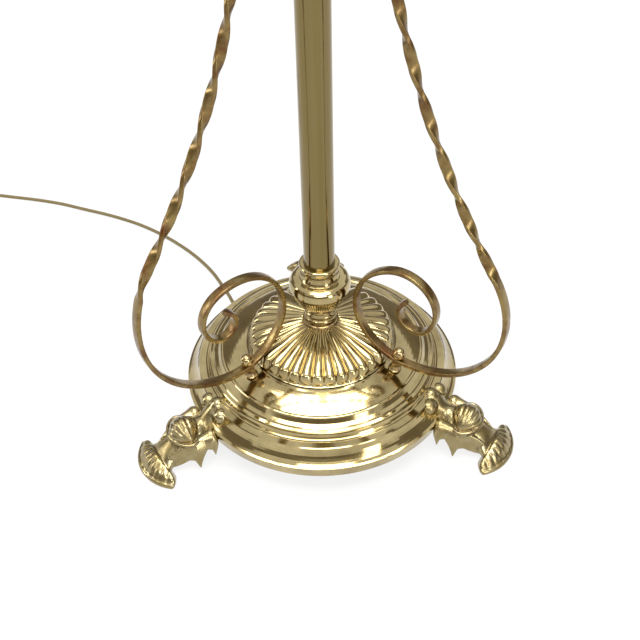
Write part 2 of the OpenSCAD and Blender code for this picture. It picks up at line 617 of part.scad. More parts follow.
// Corners of the strip's section at one point of the path
function strip_ring(c, d, turn, w) =
    let (b = unit([0, 1, 0] - d[1] * d), n = cross(d, b),
         wide = b * cos(turn) + n * sin(turn), thin = n * cos(turn) - b * sin(turn))
    [c + wide * w / 2 + thin * strip_t / 2, c + wide * w / 2 - thin * strip_t / 2,
     c - wide * w / 2 - thin * strip_t / 2, c - wide * w / 2 + thin * strip_t / 2];
module stay(i) {
    p = stay_path(i);
    n = len(p);
    full = p[n - 1][2];
    start = bends[i][11];
    turns = round((full - start) / half_turn);
    lean = tan(bends[i][12]);
    fade = [for (q = p) 1 - max(q[2], 0) / full];
    c = [for (j = [0:n - 1]) let (q = p[j][0])
        [q[0], lean * (q[0] - clamp_pt[0]) * fade[j], q[1]]];
    // The curl's tip is rounded off in width
    tip = [0.5, 0.86, 1.04, 1.1, 1.06];
    color(brass) at_stay(i) difference() {
        skin([for (j = [0:n - 1])
            strip_ring(c[j], unit([cos(p[j][1]), lean * cos(p[j][1]) * fade[j], sin(p[j][1])]),
                -180 * turns * max(0, p[j][2] - start) / (full - start),
                strip_w * (j < 5 ? tip[j] : 1))]);
        translate([clamp_pt[0], 0, clamp_pt[1]]) rotate([0, post_lean, 0])
            cylinder(h = 3 * strip_t, r = stud_r + 0.15, center = true);
        translate([stay_top_r, 0, collar_z + collar_h / 2]) rotate([0, 90, 0])
            cylinder(h = 3 * strip_t, r = stay_bolt_r + 0.15, center = true);
    }
}

// Collar that holds the stays' upper ends to the outer tube

collar_z = stay_top + 1;
stay_bolt_r = 2;
module stay_collar() {
    color(brass) difference() {
        rotate_extrude() polygon([[tube_r + run_fit, collar_z], [tube_r + 5, collar_z],
            [tube_r + 5.6, collar_z + 1], [tube_r + 5.6, collar_z + collar_h - 1],
            [tube_r + 5, collar_z + collar_h], [tube_r + run_fit, collar_z + collar_h]]);
        for (i = [0:2]) at_stay(i) {
            translate([collar_flat, -strip_w / 2 - 0.5, collar_z - 1])
                cube([10, strip_w + 1, collar_h + 2]);
            translate([tube_r - 1, 0, collar_z + collar_h / 2]) rotate([0, 90, 0])
                cylinder(h = 12, r = stay_bolt_r + run_fit);
        }
    }
}
module stay_screws() {
    face = stay_top_r + strip_t / 2 + 0.05;
    color(brass) for (i = [0:2]) at_stay(i)
        translate([tube_r + 0.3, 0, collar_z + collar_h / 2]) rotate([0, 90, 0]) {
            cylinder(h = face - tube_r, r = stay_bolt_r);
            translate([0, 0, face - tube_r - 0.3]) difference() {
                rotate_extrude() polygon([[0, 0], [4.4, 0], [4.4, 1], [3.2, 2.4], [0, 2.8]]);
                translate([-5, -0.5, 1.7]) cube([10, 1, 3]);
            }
        }
}

// Height collar with its bush, clamp shoe and thumb screw

clamp_z = column_h + 8;
clamp_ro = tube_r + 4.7;
bush_ro = tube_r - 0.6;
shoe_r = 3.4;
shoe_back = rod_r + 3.9;
screw_r = 3;
boss_end = clamp_ro + 11;
release = 1;
module height_collar() {
    z = column_h - 22;
    color(brass) difference() {
        union() {
            rotate_extrude() polygon([[tube_r + run_fit, z], [clamp_ro - 1.4, z],
                [clamp_ro, z + 1.6], [clamp_ro, z + 7], [clamp_ro - 1, z + 8],
                [clamp_ro - 1, column_h - 4], [clamp_ro, column_h - 3], [clamp_ro, column_h + 15],
                [clamp_ro - 2, column_h + 18], [rod_r + 0.6, column_h + 18],
                [rod_r + 0.6, column_h + 16.05], [bush_ro + run_fit, column_h + 16.05],
                [bush_ro + run_fit, column_h + 0.05], [tube_r + run_fit, column_h + 0.05]]);
            translate([clamp_ro - 2.5, 0, clamp_z]) rotate([0, 90, 0])
                cylinder(h = boss_end - clamp_ro + 2.5, r = 6.5);
        }
        translate([rod_r - 2, 0, clamp_z]) rotate([0, 90, 0])
            cylinder(h = boss_end - rod_r + 4, r = screw_r + run_fit);
        translate([rod_r - 2, 0, clamp_z]) rotate([0, 90, 0])
            cylinder(h = shoe_back - rod_r + release + 2.4, r = shoe_r + run_fit);
    }
}
module top_bush() {
    color("saddlebrown") difference() {
        tube(column_h + 0.1, 15.9, bush_ro, rod_r + run_fit);
        translate([rod_r - 2, 0, clamp_z]) rotate([0, 90, 0]) cylinder(h = 6, r = shoe_r + 0.2);
    }
}
module clamp_shoe() {
    color(satin) difference() {
        translate([rod_r - 1, 0, clamp_z]) rotate([0, 90, 0])
            cylinder(h = shoe_back - rod_r + 1, r = shoe_r);
        translate([0, 0, clamp_z - 10]) cylinder(h = 20, r = rod_r + run_fit);
    }
}
module thumb_screw() {
    x0 = shoe_back + 0.05;
    head = boss_end + release + 1.5;
    color(brass) translate([0, 0, clamp_z]) {
        translate([x0, 0, 0]) rotate([0, 90, 0]) cylinder(h = head - x0 + 1, r = screw_r);
        translate([head, 0, 0]) rotate([0, 90, 0]) rotate_extrude()
            polygon([[0, 0], [4.2, 0], [5, 0.8], [5, 2.6], [4, 3.6], [0, 3.6]]);
        difference() {
            translate([head + 11.5, 0, 0]) rotate([90, 0, 0]) rotate_extrude()
                polygon([[0, -1.7], [7.6, -1.7], [9, -1], [9.4, 0], [9, 1], [7.6, 1.7], [0, 1.7]]);
            translate([head - 10, -10, -10]) cube([12, 20, 20]);
            for (s = [-1, 1]) translate([head + 11.5, s * 5.2, 0]) rotate([90, 0, 0])
                cylinder(h = 7, r = 5.6, center = true);
        }
    }
}

// Inner tube, guide bush and the parts that the tube carries

head_z = column_h + rod_show;
rod_foot = head_z - rod_show - travel - 60;
guide_h = 20;
bead_t = 2;
module guide_bush() {
    color("saddlebrown") tube(rod_foot + bead_t + 0.05, guide_h - 0.1,
        tube_r - tube_wall - run_fit, rod_r + run_fit);
}
module inner_tube() {
    bead = rod_r + 0.9;
    color(brass) difference() {
        union() {
            translate([0, 0, rod_foot]) cylinder(h = head_z - rod_foot, r = rod_r);
            translate([0, 0, rod_foot]) cylinder(h = bead_t, r = bead);
            translate([0, 0, rod_foot + bead_t + guide_h]) cylinder(h = bead_t, r = bead);
        }
        translate([0, 0, rod_foot - 1]) cylinder(h = head_z - rod_foot + 2, r = rod_r - rod_wall);
    }
}
nipple_r = 5;
plug_flange = 4;
module tube_plug() {
    color(brass) difference() {
        union() {
            translate([0, 0, head_z - 12]) cylinder(h = 12.05, r = rod_r - rod_wall - run_fit);
            translate([0, 0, head_z + 0.05]) rotate_extrude() polygon([[0, 0], [rod_r + 1.4, 0],
                [rod_r + 2.4, 1], [rod_r + 1.4, 2.4], [rod_r - 1.6, plug_flange - 0.05],
                [0, plug_flange - 0.05]]);
        }
        translate([0, 0, head_z - 13]) cylinder(h = 20, r = nipple_r + run_fit);
    }
}
module holder_nipple() {
    color(steel) tube(head_z - 9, 18, nipple_r, nipple_r - 1);
}
cup_bottom = head_z + plug_flange;
cup_top = cup_bottom + 16;
module holder_cup() {
    color(brass) rotate_extrude() polygon(concat(
        [[nipple_r + run_fit, cup_bottom], [9, cup_bottom]],
        arc_to([9.4, cup_bottom + 0.3], [holder_r, cup_top - 1], 16, 6, -1),
        [[holder_r, cup_top], [holder_r - 1, cup_top]],
        reversed(arc_to([9, cup_bottom + 1.6], [holder_r - 1, cup_top - 1], 15, 6, -1)),
        [[nipple_r + run_fit, cup_bottom + 1.2]]));
}
body_top = cup_top + 32;
switch_z = cup_top + 7;
switch_r = 2;
switch_len = 2 * holder_r + switch_travel + 3.4;
module lampholder_body() {
    color(brass) difference() {
        rotate_extrude() polygon([[holder_r - 1, cup_top], [holder_r, cup_top],
            [holder_r, cup_top + 13], [holder_r + 0.5, cup_top + 13.6],
            [holder_r + 0.5, cup_top + 15.4], [holder_r, cup_top + 16], [holder_r, body_top],
            [12.6, body_top], [12.6, body_top - 1], [holder_r - 1, body_top - 1]]);
        translate([0, 0, switch_z]) rotate([90, 0, 0])
            cylinder(h = 4 * holder_r, r = switch_r + run_fit, center = true);
    }
}
module switch_bar() {
    color("ivory") translate([0, -switch_travel / 2, switch_z]) rotate([90, 0, 0]) {
        cylinder(h = switch_len, r = switch_r, center = true);
        for (s = [-1, 1]) translate([0, 0, s * (switch_len / 2 + 1)]) rotate_extrude()
            polygon([[0, -1.1], [2.8, -1.1], [3.2, -0.6], [3.2, 0.6], [2.8, 1.1], [0, 1.1]]);
    }
}
plunger_r = 2.2;
plunger_x = 5.2;
pin_z = body_top + 14;
bulb_bottom = body_top + 8;
module holder_core() {
    color("ivory") difference() {
        union() {
            translate([0, 0, cup_top + 14]) cylinder(h = body_top - 1.05 - cup_top - 14,
                r = holder_r - 1.1);
            translate([0, 0, body_top - 2]) cylinder(h = 4, r = 11.8);
        }
        for (s = [-1, 1]) translate([s * plunger_x, 0, body_top - 12])
            cylinder(h = 20, r = plunger_r + run_fit);
        translate([0, 0, cup_top + 10]) cylinder(h = 12, r = 5);
    }
}
module contact_plungers() {
    color(satin) for (s = [-1, 1]) translate([s * plunger_x, 0, body_top - 11.95])
        rotate_extrude() polygon([[0, 0], [plunger_r, 0], [plunger_r, 14], [1.5, 14.4],
            [1.5, bulb_bottom - body_top + 11.3], [1, bulb_bottom - body_top + 11.9],
            [0, bulb_bottom - body_top + 11.9]]);
}
barrel_r = 13.8;
module holder_barrel() {
    color(brass) difference() {
        tube(body_top + 0.05, 24, barrel_r, 12.4);
        for (s = [-1, 1]) {
            translate([-1.2, s * 13 - 2, pin_z - 1.2]) cube([2.4, 4, 20]);
        }
    }
}
ring_t = 2;
module shade_nut() {
    z = body_top + ring_t + 0.15;
    color("ivory") rotate_extrude() polygon([[barrel_r + run_fit, z], [19, z], [19.4, z + 0.6],
        [19.4, z + 7], [18, z + 8], [barrel_r + run_fit, z + 8]]);
}

// Shade, its carrier and trims

shade_z1 = bulb_bottom + glass_r * 3.5 + 14;
shade_z0 = shade_z1 - shade_h;
wire_r = 2;
// Radius of the shade's outside at height z
function shade_at(z) = shade_r + (shade_top_r - shade_r) * (z - shade_z0) / shade_h;
ring_z = shade_z1 - 4;
module shade_carrier() {
    r1 = shade_at(ring_z) - shade_t - wire_r - 0.6;
    z0 = body_top + 0.05 + ring_t / 2;
    x0 = 21.5;
    run = [r1 - x0, ring_z - z0];
    color(brass) {
        difference() {
            union() {
                translate([0, 0, z0 - ring_t / 2]) cylinder(h = ring_t, r = 23);
                for (i = [0:2]) at_spoke(i) translate([x0, 0, z0])
                    rotate([0, atan2(run[0], run[1]), 0]) cylinder(h = norm(run), r = 1.6, $fn = 24);
                translate([0, 0, ring_z]) rotate_extrude() translate([r1, 0]) circle(r = wire_r, $fn = 24);
            }
            translate([0, 0, z0 - 5]) cylinder(h = 10, r = barrel_r + 0.3);
            translate([0, 0, z0 - ring_t / 2 - 5]) cylinder(h = 5, r = 40);
        }
    }
}
module shade_wire() {
    z = shade_z0 + 3.4;
    color(brass) translate([0, 0, z]) rotate_extrude()
        translate([shade_at(z) - shade_t - wire_r - 0.6, 0]) circle(r = wire_r, $fn = 24);
}
module shade() {
    color("wheat") rotate_extrude() polygon([[shade_r - shade_t, shade_z0], [shade_r, shade_z0],
        [shade_top_r, shade_z1], [shade_top_r - shade_t, shade_z1]]);
}
trim_t = 0.7;
trim_h = 12;
module shade_trims() {
    g = 0.05;
    color("tan") for (z = [shade_z0, shade_z1 - trim_h])
        rotate_extrude() polygon([[shade_at(z) + g, z], [shade_at(z) + g + trim_t, z],
            [shade_at(z + trim_h) + g + trim_t, z + trim_h], [shade_at(z + trim_h) + g, z + trim_h]]);
}

// Bulb

cap_len = 24;
module bulb_cap() {
    z = bulb_bottom;
    color(satin) {
        difference() {
            translate([0, 0, z]) cylinder(h = cap_len, r = 11);
            translate([0, 0, z + 2]) cylinder(h = cap_len, r = 10.4);
        }
        for (s = [-1, 1]) translate([0, s * 10.6, pin_z]) rotate([-90 * s, 0, 0])
            cylinder(h = 3, r = 1.05, $fn = 24);
    }
}
glass_z = bulb_bottom + cap_len + glass_r + 8;
glass_t = 0.7;
function glass_line(r, neck) = concat(
    [[neck, bulb_bottom + cap_len - 8], [neck, bulb_bottom + cap_len + 2]],
    arc([0, glass_z], r, -52, 90, 16));
module bulb_glass() {
    outer = glass_line(glass_r, 10.35);
    inner = glass_line(glass_r - glass_t, 10.35 - glass_t);
    color("white", 0.5) rotate_extrude() polygon(concat(outer, reversed(inner)));
}
module bulb_filament() {
    z = bulb_bottom + cap_len - 7;
    color("khaki") {
        translate([0, 0, z]) rotate_extrude()
            polygon([[0, 0], [9.6, 0], [9.6, 2], [4, 4], [2.6, 22], [0, 22]]);
        for (i = [0:3]) rotate([0, 0, 90 * i + 45]) {
            translate([2, 0, z + 21]) rotate([0, 12, 0]) cylinder(h = 38, r = 0.9, $fn = 16);
        }
        translate([0, 0, z + 57]) cylinder(h = 1.6, r = 11, $fn = 32);
        translate([0, 0, z + 20]) cylinder(h = 2, r = 4, $fn = 32);
    }
}

// Cord: clamp and strain relief under the base, the free stretch, the coil and the plug

module at_clamp_bolts() {
    for (s = [-1, 1]) translate([boot_from[0], boot_from[1], 0]) rotate([0, 0, boot_dir])
        translate([-7, s * 7.5, 0]) children();
}
module cord_clamp() {
    color(steel) difference() {
        at_boot() translate([-13, -11.5, -4]) cube([12, 23, base_lift - boot_z + 4 - 0.1]);
        at_boot() translate([-20, 0, 0]) rotate([0, 90, 0]) cylinder(h = 40, r = cord_r + run_fit);
        at_clamp_bolts() cylinder(h = 60, r = clamp_bolt_r + 0.1);
    }
}
module clamp_screws() {
    z = boot_z - 4;
    color(steel) at_clamp_bolts() translate([0, 0, z - 2]) {
        cylinder(h = base_lift + plate_t + 10 - z, r = clamp_bolt_r);
        cylinder(h = 1.95, r = 2.8);
    }
}
module cord_boot() {
    color("goldenrod") at_boot() difference() {
        rotate([0, 90, 0]) rotate_extrude() polygon([[cord_r + run_fit, -0.9], [4.8, -0.9], [4.8, 1.2],
            [4.2, 1.8], [2.9, boot_len], [cord_r + run_fit, boot_len]]);
    }
}
// Smooth curve through a list of points, k steps to a span
function blend(p, i, t) =
    let (a = p[max(i - 1, 0)], b = p[i], c = p[i + 1], d = p[min(i + 2, len(p) - 1)])
    0.5 * (2 * b + (c - a) * t + (2 * a - 5 * b + 4 * c - d) * t * t
        + (3 * b - a - 3 * c + d) * t * t * t);
function smooth(p, k) = concat([for (i = [0:len(p) - 2]) for (j = [0:k - 1]) blend(p, i, j / k)],
    [p[len(p) - 1]]);
// Rings of a round tube along a curve, with up kept near a given direction
function unit(v) = v / norm(v);
function tube_rings(p, r, sides, up) =
    [for (i = [0:len(p) - 1])
        let (t = unit(p[min(i + 1, len(p) - 1)] - p[max(i - 1, 0)]),
             s = unit(cross(t, up)), v = cross(s, t))
        [for (j = [0:sides - 1]) let (a = 360 * (j + 0.5) / sides)
            p[i] + r * (cos(a) * s + sin(a) * v)]];
module cord_tube(p, sides, up) {
    color("goldenrod") skin(tube_rings(p, cord_r - 0.02, sides, up));
}
floor_z = cord_r + 0.05;
exit_pt = boot_from + boot_len * [cos(boot_dir), sin(boot_dir)];
exit_z = boot_z;
// Route of the free stretch over the floor, chosen by hand
cord_route = concat(
    [[exit_pt[0], exit_pt[1], exit_z], [exit_pt[0] - 2.7, exit_pt[1] + 7.5, exit_z - 0.3],
    [-76, 82, 12.5], [-81, 96, 7.5], [-87, 112, 3.6]],
    [for (q = [[-93, 129], [-100, 147], [-108, 164], [-118, 184], [-131, 204], [-146, 223],
        [-164, 242], [-185, 261], [-208, 278], [-230, 291], [-254, 303], [-282, 315],
        [-312, 328], [-343, 338], [-374, 346], [-403, 353]])
        [q[0], q[1], floor_z]]);
coil_c = [-444.5, 388];
coil_z = floor_z + 0.75;
coil_start = 265;
layer_turns = 2.5;
// Radius and height of the coil after t turns
function coil_wave(t) = let (m = t % (2 * layer_turns)) m < layer_turns ? m : 2 * layer_turns - m;
function coil_radius(t) = coil_mid + coil_step * (layer_turns / 2 - coil_wave(t));
function coil_climb(t) =
    let (k = round(t / layer_turns), d = t - k * layer_turns, last = ceil(coil_turns / layer_turns))
    k < 1 || k >= last ? (k < 1 ? 0 : last - 1) : (d < -0.25 ? k - 1 : (d > 0.25 ? k : k - 0.5 + 2 * d));
function coil_at(t) = let (a = coil_start - 360 * t, r = coil_radius(t))
    [coil_c[0] + r * cos(a), coil_c[1] + r * sin(a), coil_z + coil_step * coil_climb(t)];
coil_rings = ceil(coil_turns * 24);
coil_pts = [for (i = [0:coil_rings]) coil_at(coil_turns * i / coil_rings)];
coil_in = coil_pts[0] - coil_pts[1];
coil_lead = [for (k = [cord_d, cord_d / 2]) coil_pts[0] + k * unit([coil_in[0], coil_in[1], 0])];
coil_off = unit([coil_pts[coil_rings][0] - coil_pts[coil_rings - 1][0],
    coil_pts[coil_rings][1] - coil_pts[coil_rings - 1][1], 0]);
coil_exit = [for (k = [cord_d / 2, cord_d]) coil_pts[coil_rings] + k * coil_off];
coil_line = concat(coil_lead, coil_pts, coil_exit);
coil_gap = min([for (i = [0:2:coil_rings]) for (j = [i + 14:2:coil_rings])
    norm(coil_pts[i] - coil_pts[j])]) - cord_d;
echo(coil_gap = coil_gap);
// The free stretch ends face to face with the coil's straight lead
cord_path = concat(cord_route, [coil_line[0] + 16 * unit([coil_in[0], coil_in[1], 0]) * 1
    - [0, 0, coil_z - floor_z], coil_line[0] + 0.1 * unit([coil_in[0], coil_in[1], 0])]);
module cord() {
    cord_tube(smooth(cord_path, 3), 8, [0, 0, 1]);
}
module cord_coil() {
    cord_tube(coil_line, 6, [0, 0, 1]);
}
tie_t = 0.6;
module coil_tie() {
    layers = ceil(coil_turns / layer_turns);
    r0 = coil_mid - coil_step * layer_turns / 2 - cord_r - 0.9;
    r1 = coil_mid + coil_step * layer_turns / 2 + cord_r + 0.3;
    z0 = coil_z - cord_r - 0.1;
    z1 = coil_z + coil_step * (layers - 1) + cord_r + 0.3;
    color("black") translate([coil_c[0], coil_c[1], 0]) rotate([0, 0, 100]) difference() {
        translate([r0 - tie_t, -4, z0 - tie_t]) cube([r1 - r0 + 2 * tie_t, 8, z1 - z0 + 2 * tie_t]);
        translate([r0, -5, z0]) cube([r1 - r0, 10, z1 - z0]);
    }
}
// The tail leads from the top of the coil to the plug on the floor
plug_z = 7;
plug_at = [-432, 298];
plug_dir = 258;
tail_end = coil_line[len(coil_line) - 1];
plug_back = [plug_at[0], plug_at[1], plug_z];
plug_head = [cos(plug_dir), sin(plug_dir), 0];
tail_path = [tail_end + 0.1 * coil_off, tail_end + 6 * coil_off,
    tail_end + 20 * coil_off - [0, 0, 2.6], tail_end + 36 * coil_off - [0, 0, 6.8],
    plug_back - 22 * plug_head + [0, 0, 1.6], plug_back - 9 * plug_head, plug_back - 0.1 * plug_head];
module cord_tail() {
    cord_tube(smooth(tail_path, 3), 8, [0, 0, 1]);
}
module at_plug() {
    translate(plug_back) rotate([0, 0, plug_dir]) children();
}
pin_gap = 19;
module plug_body() {
    color("saddlebrown") at_plug() difference() {
        union() {
            rotate([0, 90, 0]) cylinder(h = 14, r1 = 3.2, r2 = 4.6);
            hull() {
                translate([10, -4, -4.5]) cube([1, 8, 9]);
                translate([24, -16, -6.9]) cube([14, 32, 13.8]);
            }
        }
        for (s = [-1, 1]) translate([30, s * pin_gap / 2, 0]) rotate([0, 90, 0])
            cylinder(h = 20, r = 2 + run_fit);
    }
}
module plug_pins() {
    color(satin) at_plug() for (s = [-1, 1]) translate([30.1, s * pin_gap / 2, 0]) rotate([0, 90, 0]) {
        cylinder(h = 25.4, r = 2);
        translate([0, 0, 25.4]) cylinder(h = 1.2, r1 = 2, r2 = 1.1);
    }
}
// Flex inside the lamp: from the clamp up the tie tube, and from the inner tube to the holder
flex_low = concat(
    [for (k = [boot_len - 0.1, 6, -8, -20]) [boot_from[0] + k * cos(boot_dir),
        boot_from[1] + k * sin(boot_dir), boot_z]],
    [[-49, 15, boot_z], [-36, 10, boot_z], [-20, 5.6, boot_z], [-9, 2.4, boot_z + 1.4],
    [-2.6, 0.6, boot_z + 6], [0, 0, boot_z + 13], [0, 0, boot_z + 40], [0, 0, socket_z + 36]]);
module flex_lower() {
    color("goldenrod") skin(tube_rings(smooth(flex_low, 3), cord_r - 0.02, 8, [0.3, 1, 0.1]));
}
module flex_upper() {
    color("goldenrod") translate([0, 0, head_z - 60])
        cylinder(h = switch_z - switch_r - 0.8 - head_z + 60, r = cord_r);
}

base_shell();
base_weight();
bottom_plate();
hub_spacer();
gadrooned_cap();
cap_washer();
knob_foot();
knob_cup();
knob_bulb();
knob_neck();
tie_tube();
tie_nut();
tube_socket();
outer_tube();
foot(0);  // foot_front_left
foot(1);  // foot_front_right
foot(2);  // foot_back
foot_screws();
stay_posts();
post_studs();
ball_nuts();
post_nuts();
stay(0);  // stay_left
stay(1);  // stay_right
stay(2);  // stay_back
stay_collar();
stay_screws();
height_collar();
top_bush();
clamp_shoe();
thumb_screw();
guide_bush();
inner_tube();
tube_plug();
holder_nipple();
holder_cup();
lampholder_body();
switch_bar();
holder_core();
contact_plungers();
holder_barrel();
shade_nut();
shade_carrier();
shade_wire();
shade();
shade_trims();
bulb_cap();
bulb_glass();
bulb_filament();
cord_clamp();
clamp_screws();
cord_boot();
flex_lower();
flex_upper();
cord();
cord_coil();
coil_tie();
cord_tail();
plug_body();
plug_pins();
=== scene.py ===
"""Looks of an adjustable brass floor lamp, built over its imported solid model."""
import math

import bpy
from mathutils import Matrix, Vector


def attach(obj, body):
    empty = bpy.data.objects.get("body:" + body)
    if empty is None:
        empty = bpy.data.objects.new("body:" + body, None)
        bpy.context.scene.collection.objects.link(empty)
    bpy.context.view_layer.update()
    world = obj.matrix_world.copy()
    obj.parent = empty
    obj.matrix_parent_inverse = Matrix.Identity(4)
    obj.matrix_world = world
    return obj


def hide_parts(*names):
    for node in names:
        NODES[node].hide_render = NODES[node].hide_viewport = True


bl_info = {
    "name": "Adjustable Floor Lamp",
    "version": (1, 0, 0),
    "blender": (4, 5, 0),
    "location": "View3D > Sidebar > Floor Lamp",
    "description": "Castings, stays, flex and finishes of a telescopic brass floor lamp",
    "category": "Add Mesh",
}

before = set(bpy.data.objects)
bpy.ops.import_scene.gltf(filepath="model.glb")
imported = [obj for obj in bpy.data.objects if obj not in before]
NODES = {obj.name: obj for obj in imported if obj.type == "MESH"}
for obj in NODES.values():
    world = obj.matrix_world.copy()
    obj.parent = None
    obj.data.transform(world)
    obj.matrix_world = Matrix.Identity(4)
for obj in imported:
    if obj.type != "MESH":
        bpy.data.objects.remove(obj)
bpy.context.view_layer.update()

# Points closer than this, in metres, are one
MERGE = 0.00001

# Places that the solid model fixes, in millimetres from the floor under the column
RIM = 134.0
POST = (83.642, 83.466)
POST_LEAN = 10.0
COLLAR = (20.65, 690.0)
COLLAR_GRIP = 26
SPOKES = {"front_left": 210, "front_right": 330, "back": 90}

# Rows of the cap from its border in: radius, height, share of the gadroons' depth, slope
CAP_ROWS = (
    (71, 74.95, 0, 90), (70, 75.85, 0.2, 80), (69.6, 79.77, 0.9, 86), (68.2, 83.23, 1, 70),
    (66, 85.95, 1, 44), (60, 88.66, 0.95, 22), (50, 91.46, 0.78, 15), (32, 95.33, 0.5, 12),
    (18, 98.05, 0.2, 10),
)
CAP_BORE = 7.1

# Radii of a stay's loop, middle turn, curl, bow and easy bend, before the factors below
STAY_RADII = (54.5, 31, 15, 100, 640)
# Azimuth of each stay and its bends: factor and sweep of loop, middle turn and curl, outward rest,
# factor and sweep of bow and easy bend, start of the twist, lean
STAYS = {
    "left": (212.9, (0.994, 186.8, 0.885, 136.2, 0.904, 196.4, 22.7, 1.092, 115.9, 0.833, 22.2,
                     -35, 6.6)),
    "right": (327.1, (1.007, 149.5, 1.103, 149.6, 1.093, 197.4, 7.5, 0.903, 126, 1.183, 18.7,
                      -1, -1.96)),
    "back": (90, (1, 165, 1, 143, 1, 197, 15, 1, 121, 1, 20.3, 0, 0)),
}
# Width of the strip over the first stretch of its curl, as shares of its full width
TIP_SHARES = ((0.45,), (0.86,), (1.04,), (1.1,), (1.06,), (1,))
TIP_LENGTH = 18

# One foot along +X from the rim. Body: place, half width, top and underside
FOOT_BODY = (
    (-17.5, 5, 49.5, 40), (-14, 8.5, 51, 34), (-7, 10, 46.5, 30), (0, 10.5, 40, 18),
    (4, 13, 37.5, 12), (10, 18, 37, 9), (19, 21, 35, 7), (29, 17.5, 32.5, 5.5),
    (38, 14.5, 26, 4.5), (45, 17, 20, 3.5), (50, 21, 14.5, 2.5), (56, 26, 9, 2),
)
# Leaf: place, then side and height of its top, of its fold and of its scalloped edge
FOOT_LEAF = (
    (-4, 14, 34, 18, 31, 20, 27), (-1, 17, 35, 23, 31, 27, 24),
    (1.5, 18, 35.5, 24.5, 30.5, 28.5, 19), (3.6, 18.5, 35, 25, 29, 28.5, 12.5),
    (6, 19, 34, 25, 28, 27.5, 20.5), (10, 19, 33, 24, 27, 25.5, 21.5),
    (15, 19, 32, 24.5, 25, 27, 16), (18.4, 19.5, 31, 25, 23.5, 28, 10),
    (20.4, 19.5, 30.5, 25, 23, 28.5, 4.5), (23.5, 18, 30, 22.5, 22, 24, 12.5),
    (28, 16.5, 28.5, 20, 19, 20.5, 12), (33, 15, 26, 18, 17, 18.5, 9),
    (39, 13, 23, 16, 14, 16.5, 7), (45, 11.5, 19, 14, 11.5, 14.5, 6),
)
LEAF_ROOT = 11
ALMOND_CENTRE = (RIM + 21.5, 31.5)
ALMOND_RADIUS = 14.5
ALMOND_HALF_LENGTH = 17.5
BED_RADIUS = 15.6
BED_HALF_LENGTH = 21
TOE_CENTRE = RIM + 25.7
TOE_HALF_ANGLE = 53
TOE_RADIUS = 43.8
LOBES = ((-16.8, 0, 44), (-13.4, 11.8, 41.4), (-13.4, -11.8, 41.4))
LOBE_RADIUS = 8.6

# Route of the flex from the boot to the coil: down to the floor, then over it
FLEX_DROP = (
    (-69.38, 62.725, 17), (-72.08, 70.225, 16.7), (-76, 82, 12.5), (-81, 96, 7.5),
    (-87, 112, 3.6),
)
FLEX_FLOOR = (
    (-93, 129), (-100, 147), (-108, 164), (-118, 184), (-131, 204), (-146, 223), (-164, 242),
    (-185, 261), (-208, 278), (-230, 291), (-254, 303), (-282, 315), (-312, 328), (-343, 338),
    (-374, 346), (-403, 353),
)
FLEX_LAY = 2.05
COIL_CENTRE = (-444.5, 388.0)
COIL_RADIUS = 22.25
COIL_PITCH = 5
COIL_HEIGHT = 2.8
COIL_START = 265
COIL_TURNS = 9.75
LAYER_TURNS = 2.5
PLUG_BACK = Vector((-432, 298, 7))
PLUG_HEADING = 258.0
# Strands of the braid cross at this spacing along the flex, and this often around it
BRAID_PITCH = 2.5
BRAID_STRANDS = 8

# Soft boxes, in metres and watts: name, place, aim, size, power
LIGHTS = (
    ("top_box", (0, -0.2, 3.4), (0, 0, 0), (2.7, 2.2), 157),
    ("front_box", (0, -2.3, 2.1), (0, 0, 0), (1.8, 0.5), 30),
    ("left_box", (-2.1, 0.1, 0.9), (0, 0, 0.3), (0.5, 1.4), 12),
    ("right_box", (1.3, -1.9, 0.9), (0, 0, 0.3), (0.5, 1.4), 14),
)
# Dark cloths round the set: name, lower and upper edge, and whether it hangs in front
CLOTHS = (("back_cloths", 0.2, 2.1, False), ("front_cloth", 0.75, 1.6, True))
CLOTH_RADIUS = 3.2
CLOTH_FRONT = -1.7


def srgb(code):
    """Linear colour of an sRGB hex value such as #8A7A4A."""
    parts = [int(code[i:i + 2], 16) / 255 for i in (1, 3, 5)]
    return tuple(c / 12.92 if c <= 0.04045 else ((c + 0.055) / 1.055) ** 2.4 for c in parts)


def size_prop(label, text, value, low, high):
    """A length that the panel shows in the scene's unit."""
    return bpy.props.FloatProperty(
        name=label, description=text, default=value, min=low, max=high, unit="LENGTH")


def colour_prop(label, text, code):
    """A colour that the panel shows."""
    return bpy.props.FloatVectorProperty(
        name=label, description=text, default=srgb(code), min=0, max=1, size=3, subtype="COLOR")


class LampSizes(bpy.types.PropertyGroup):
    """Sizes of the shaped pieces."""
    flex_diameter: size_prop("Flex diameter", "Across the braid", 0.004, 0.003, 0.006)
    strip_width: size_prop("Strip width", "Wide side of the stays' strip", 0.0088, 0.006, 0.012)
    strip_thickness: size_prop("Strip thickness", "Thin side of the strip", 0.0042, 0.003, 0.006)
    strip_edge: size_prop("Strip edge", "Rounding of the strip's edges", 0.0009, 0.0003, 0.0018)
    half_turn: size_prop("Half turn", "Length of stay for half a turn of twist", 0.047, 0.03, 0.08)
    gadroon_depth: size_prop("Gadroon depth", "Valleys of the cap", 0.0032, 0.001, 0.005)
    cast_voxel: size_prop("Casting detail", "Finest detail of the feet", 0.0007, 0.0005, 0.002)
    gadroons: bpy.props.IntProperty(
        name="Gadroons", description="Lobes around the cap", default=36, min=12, max=60)
    toe_ribs: bpy.props.IntProperty(
        name="Toe ribs", description="Ribs of each shell toe", default=9, min=5, max=13)


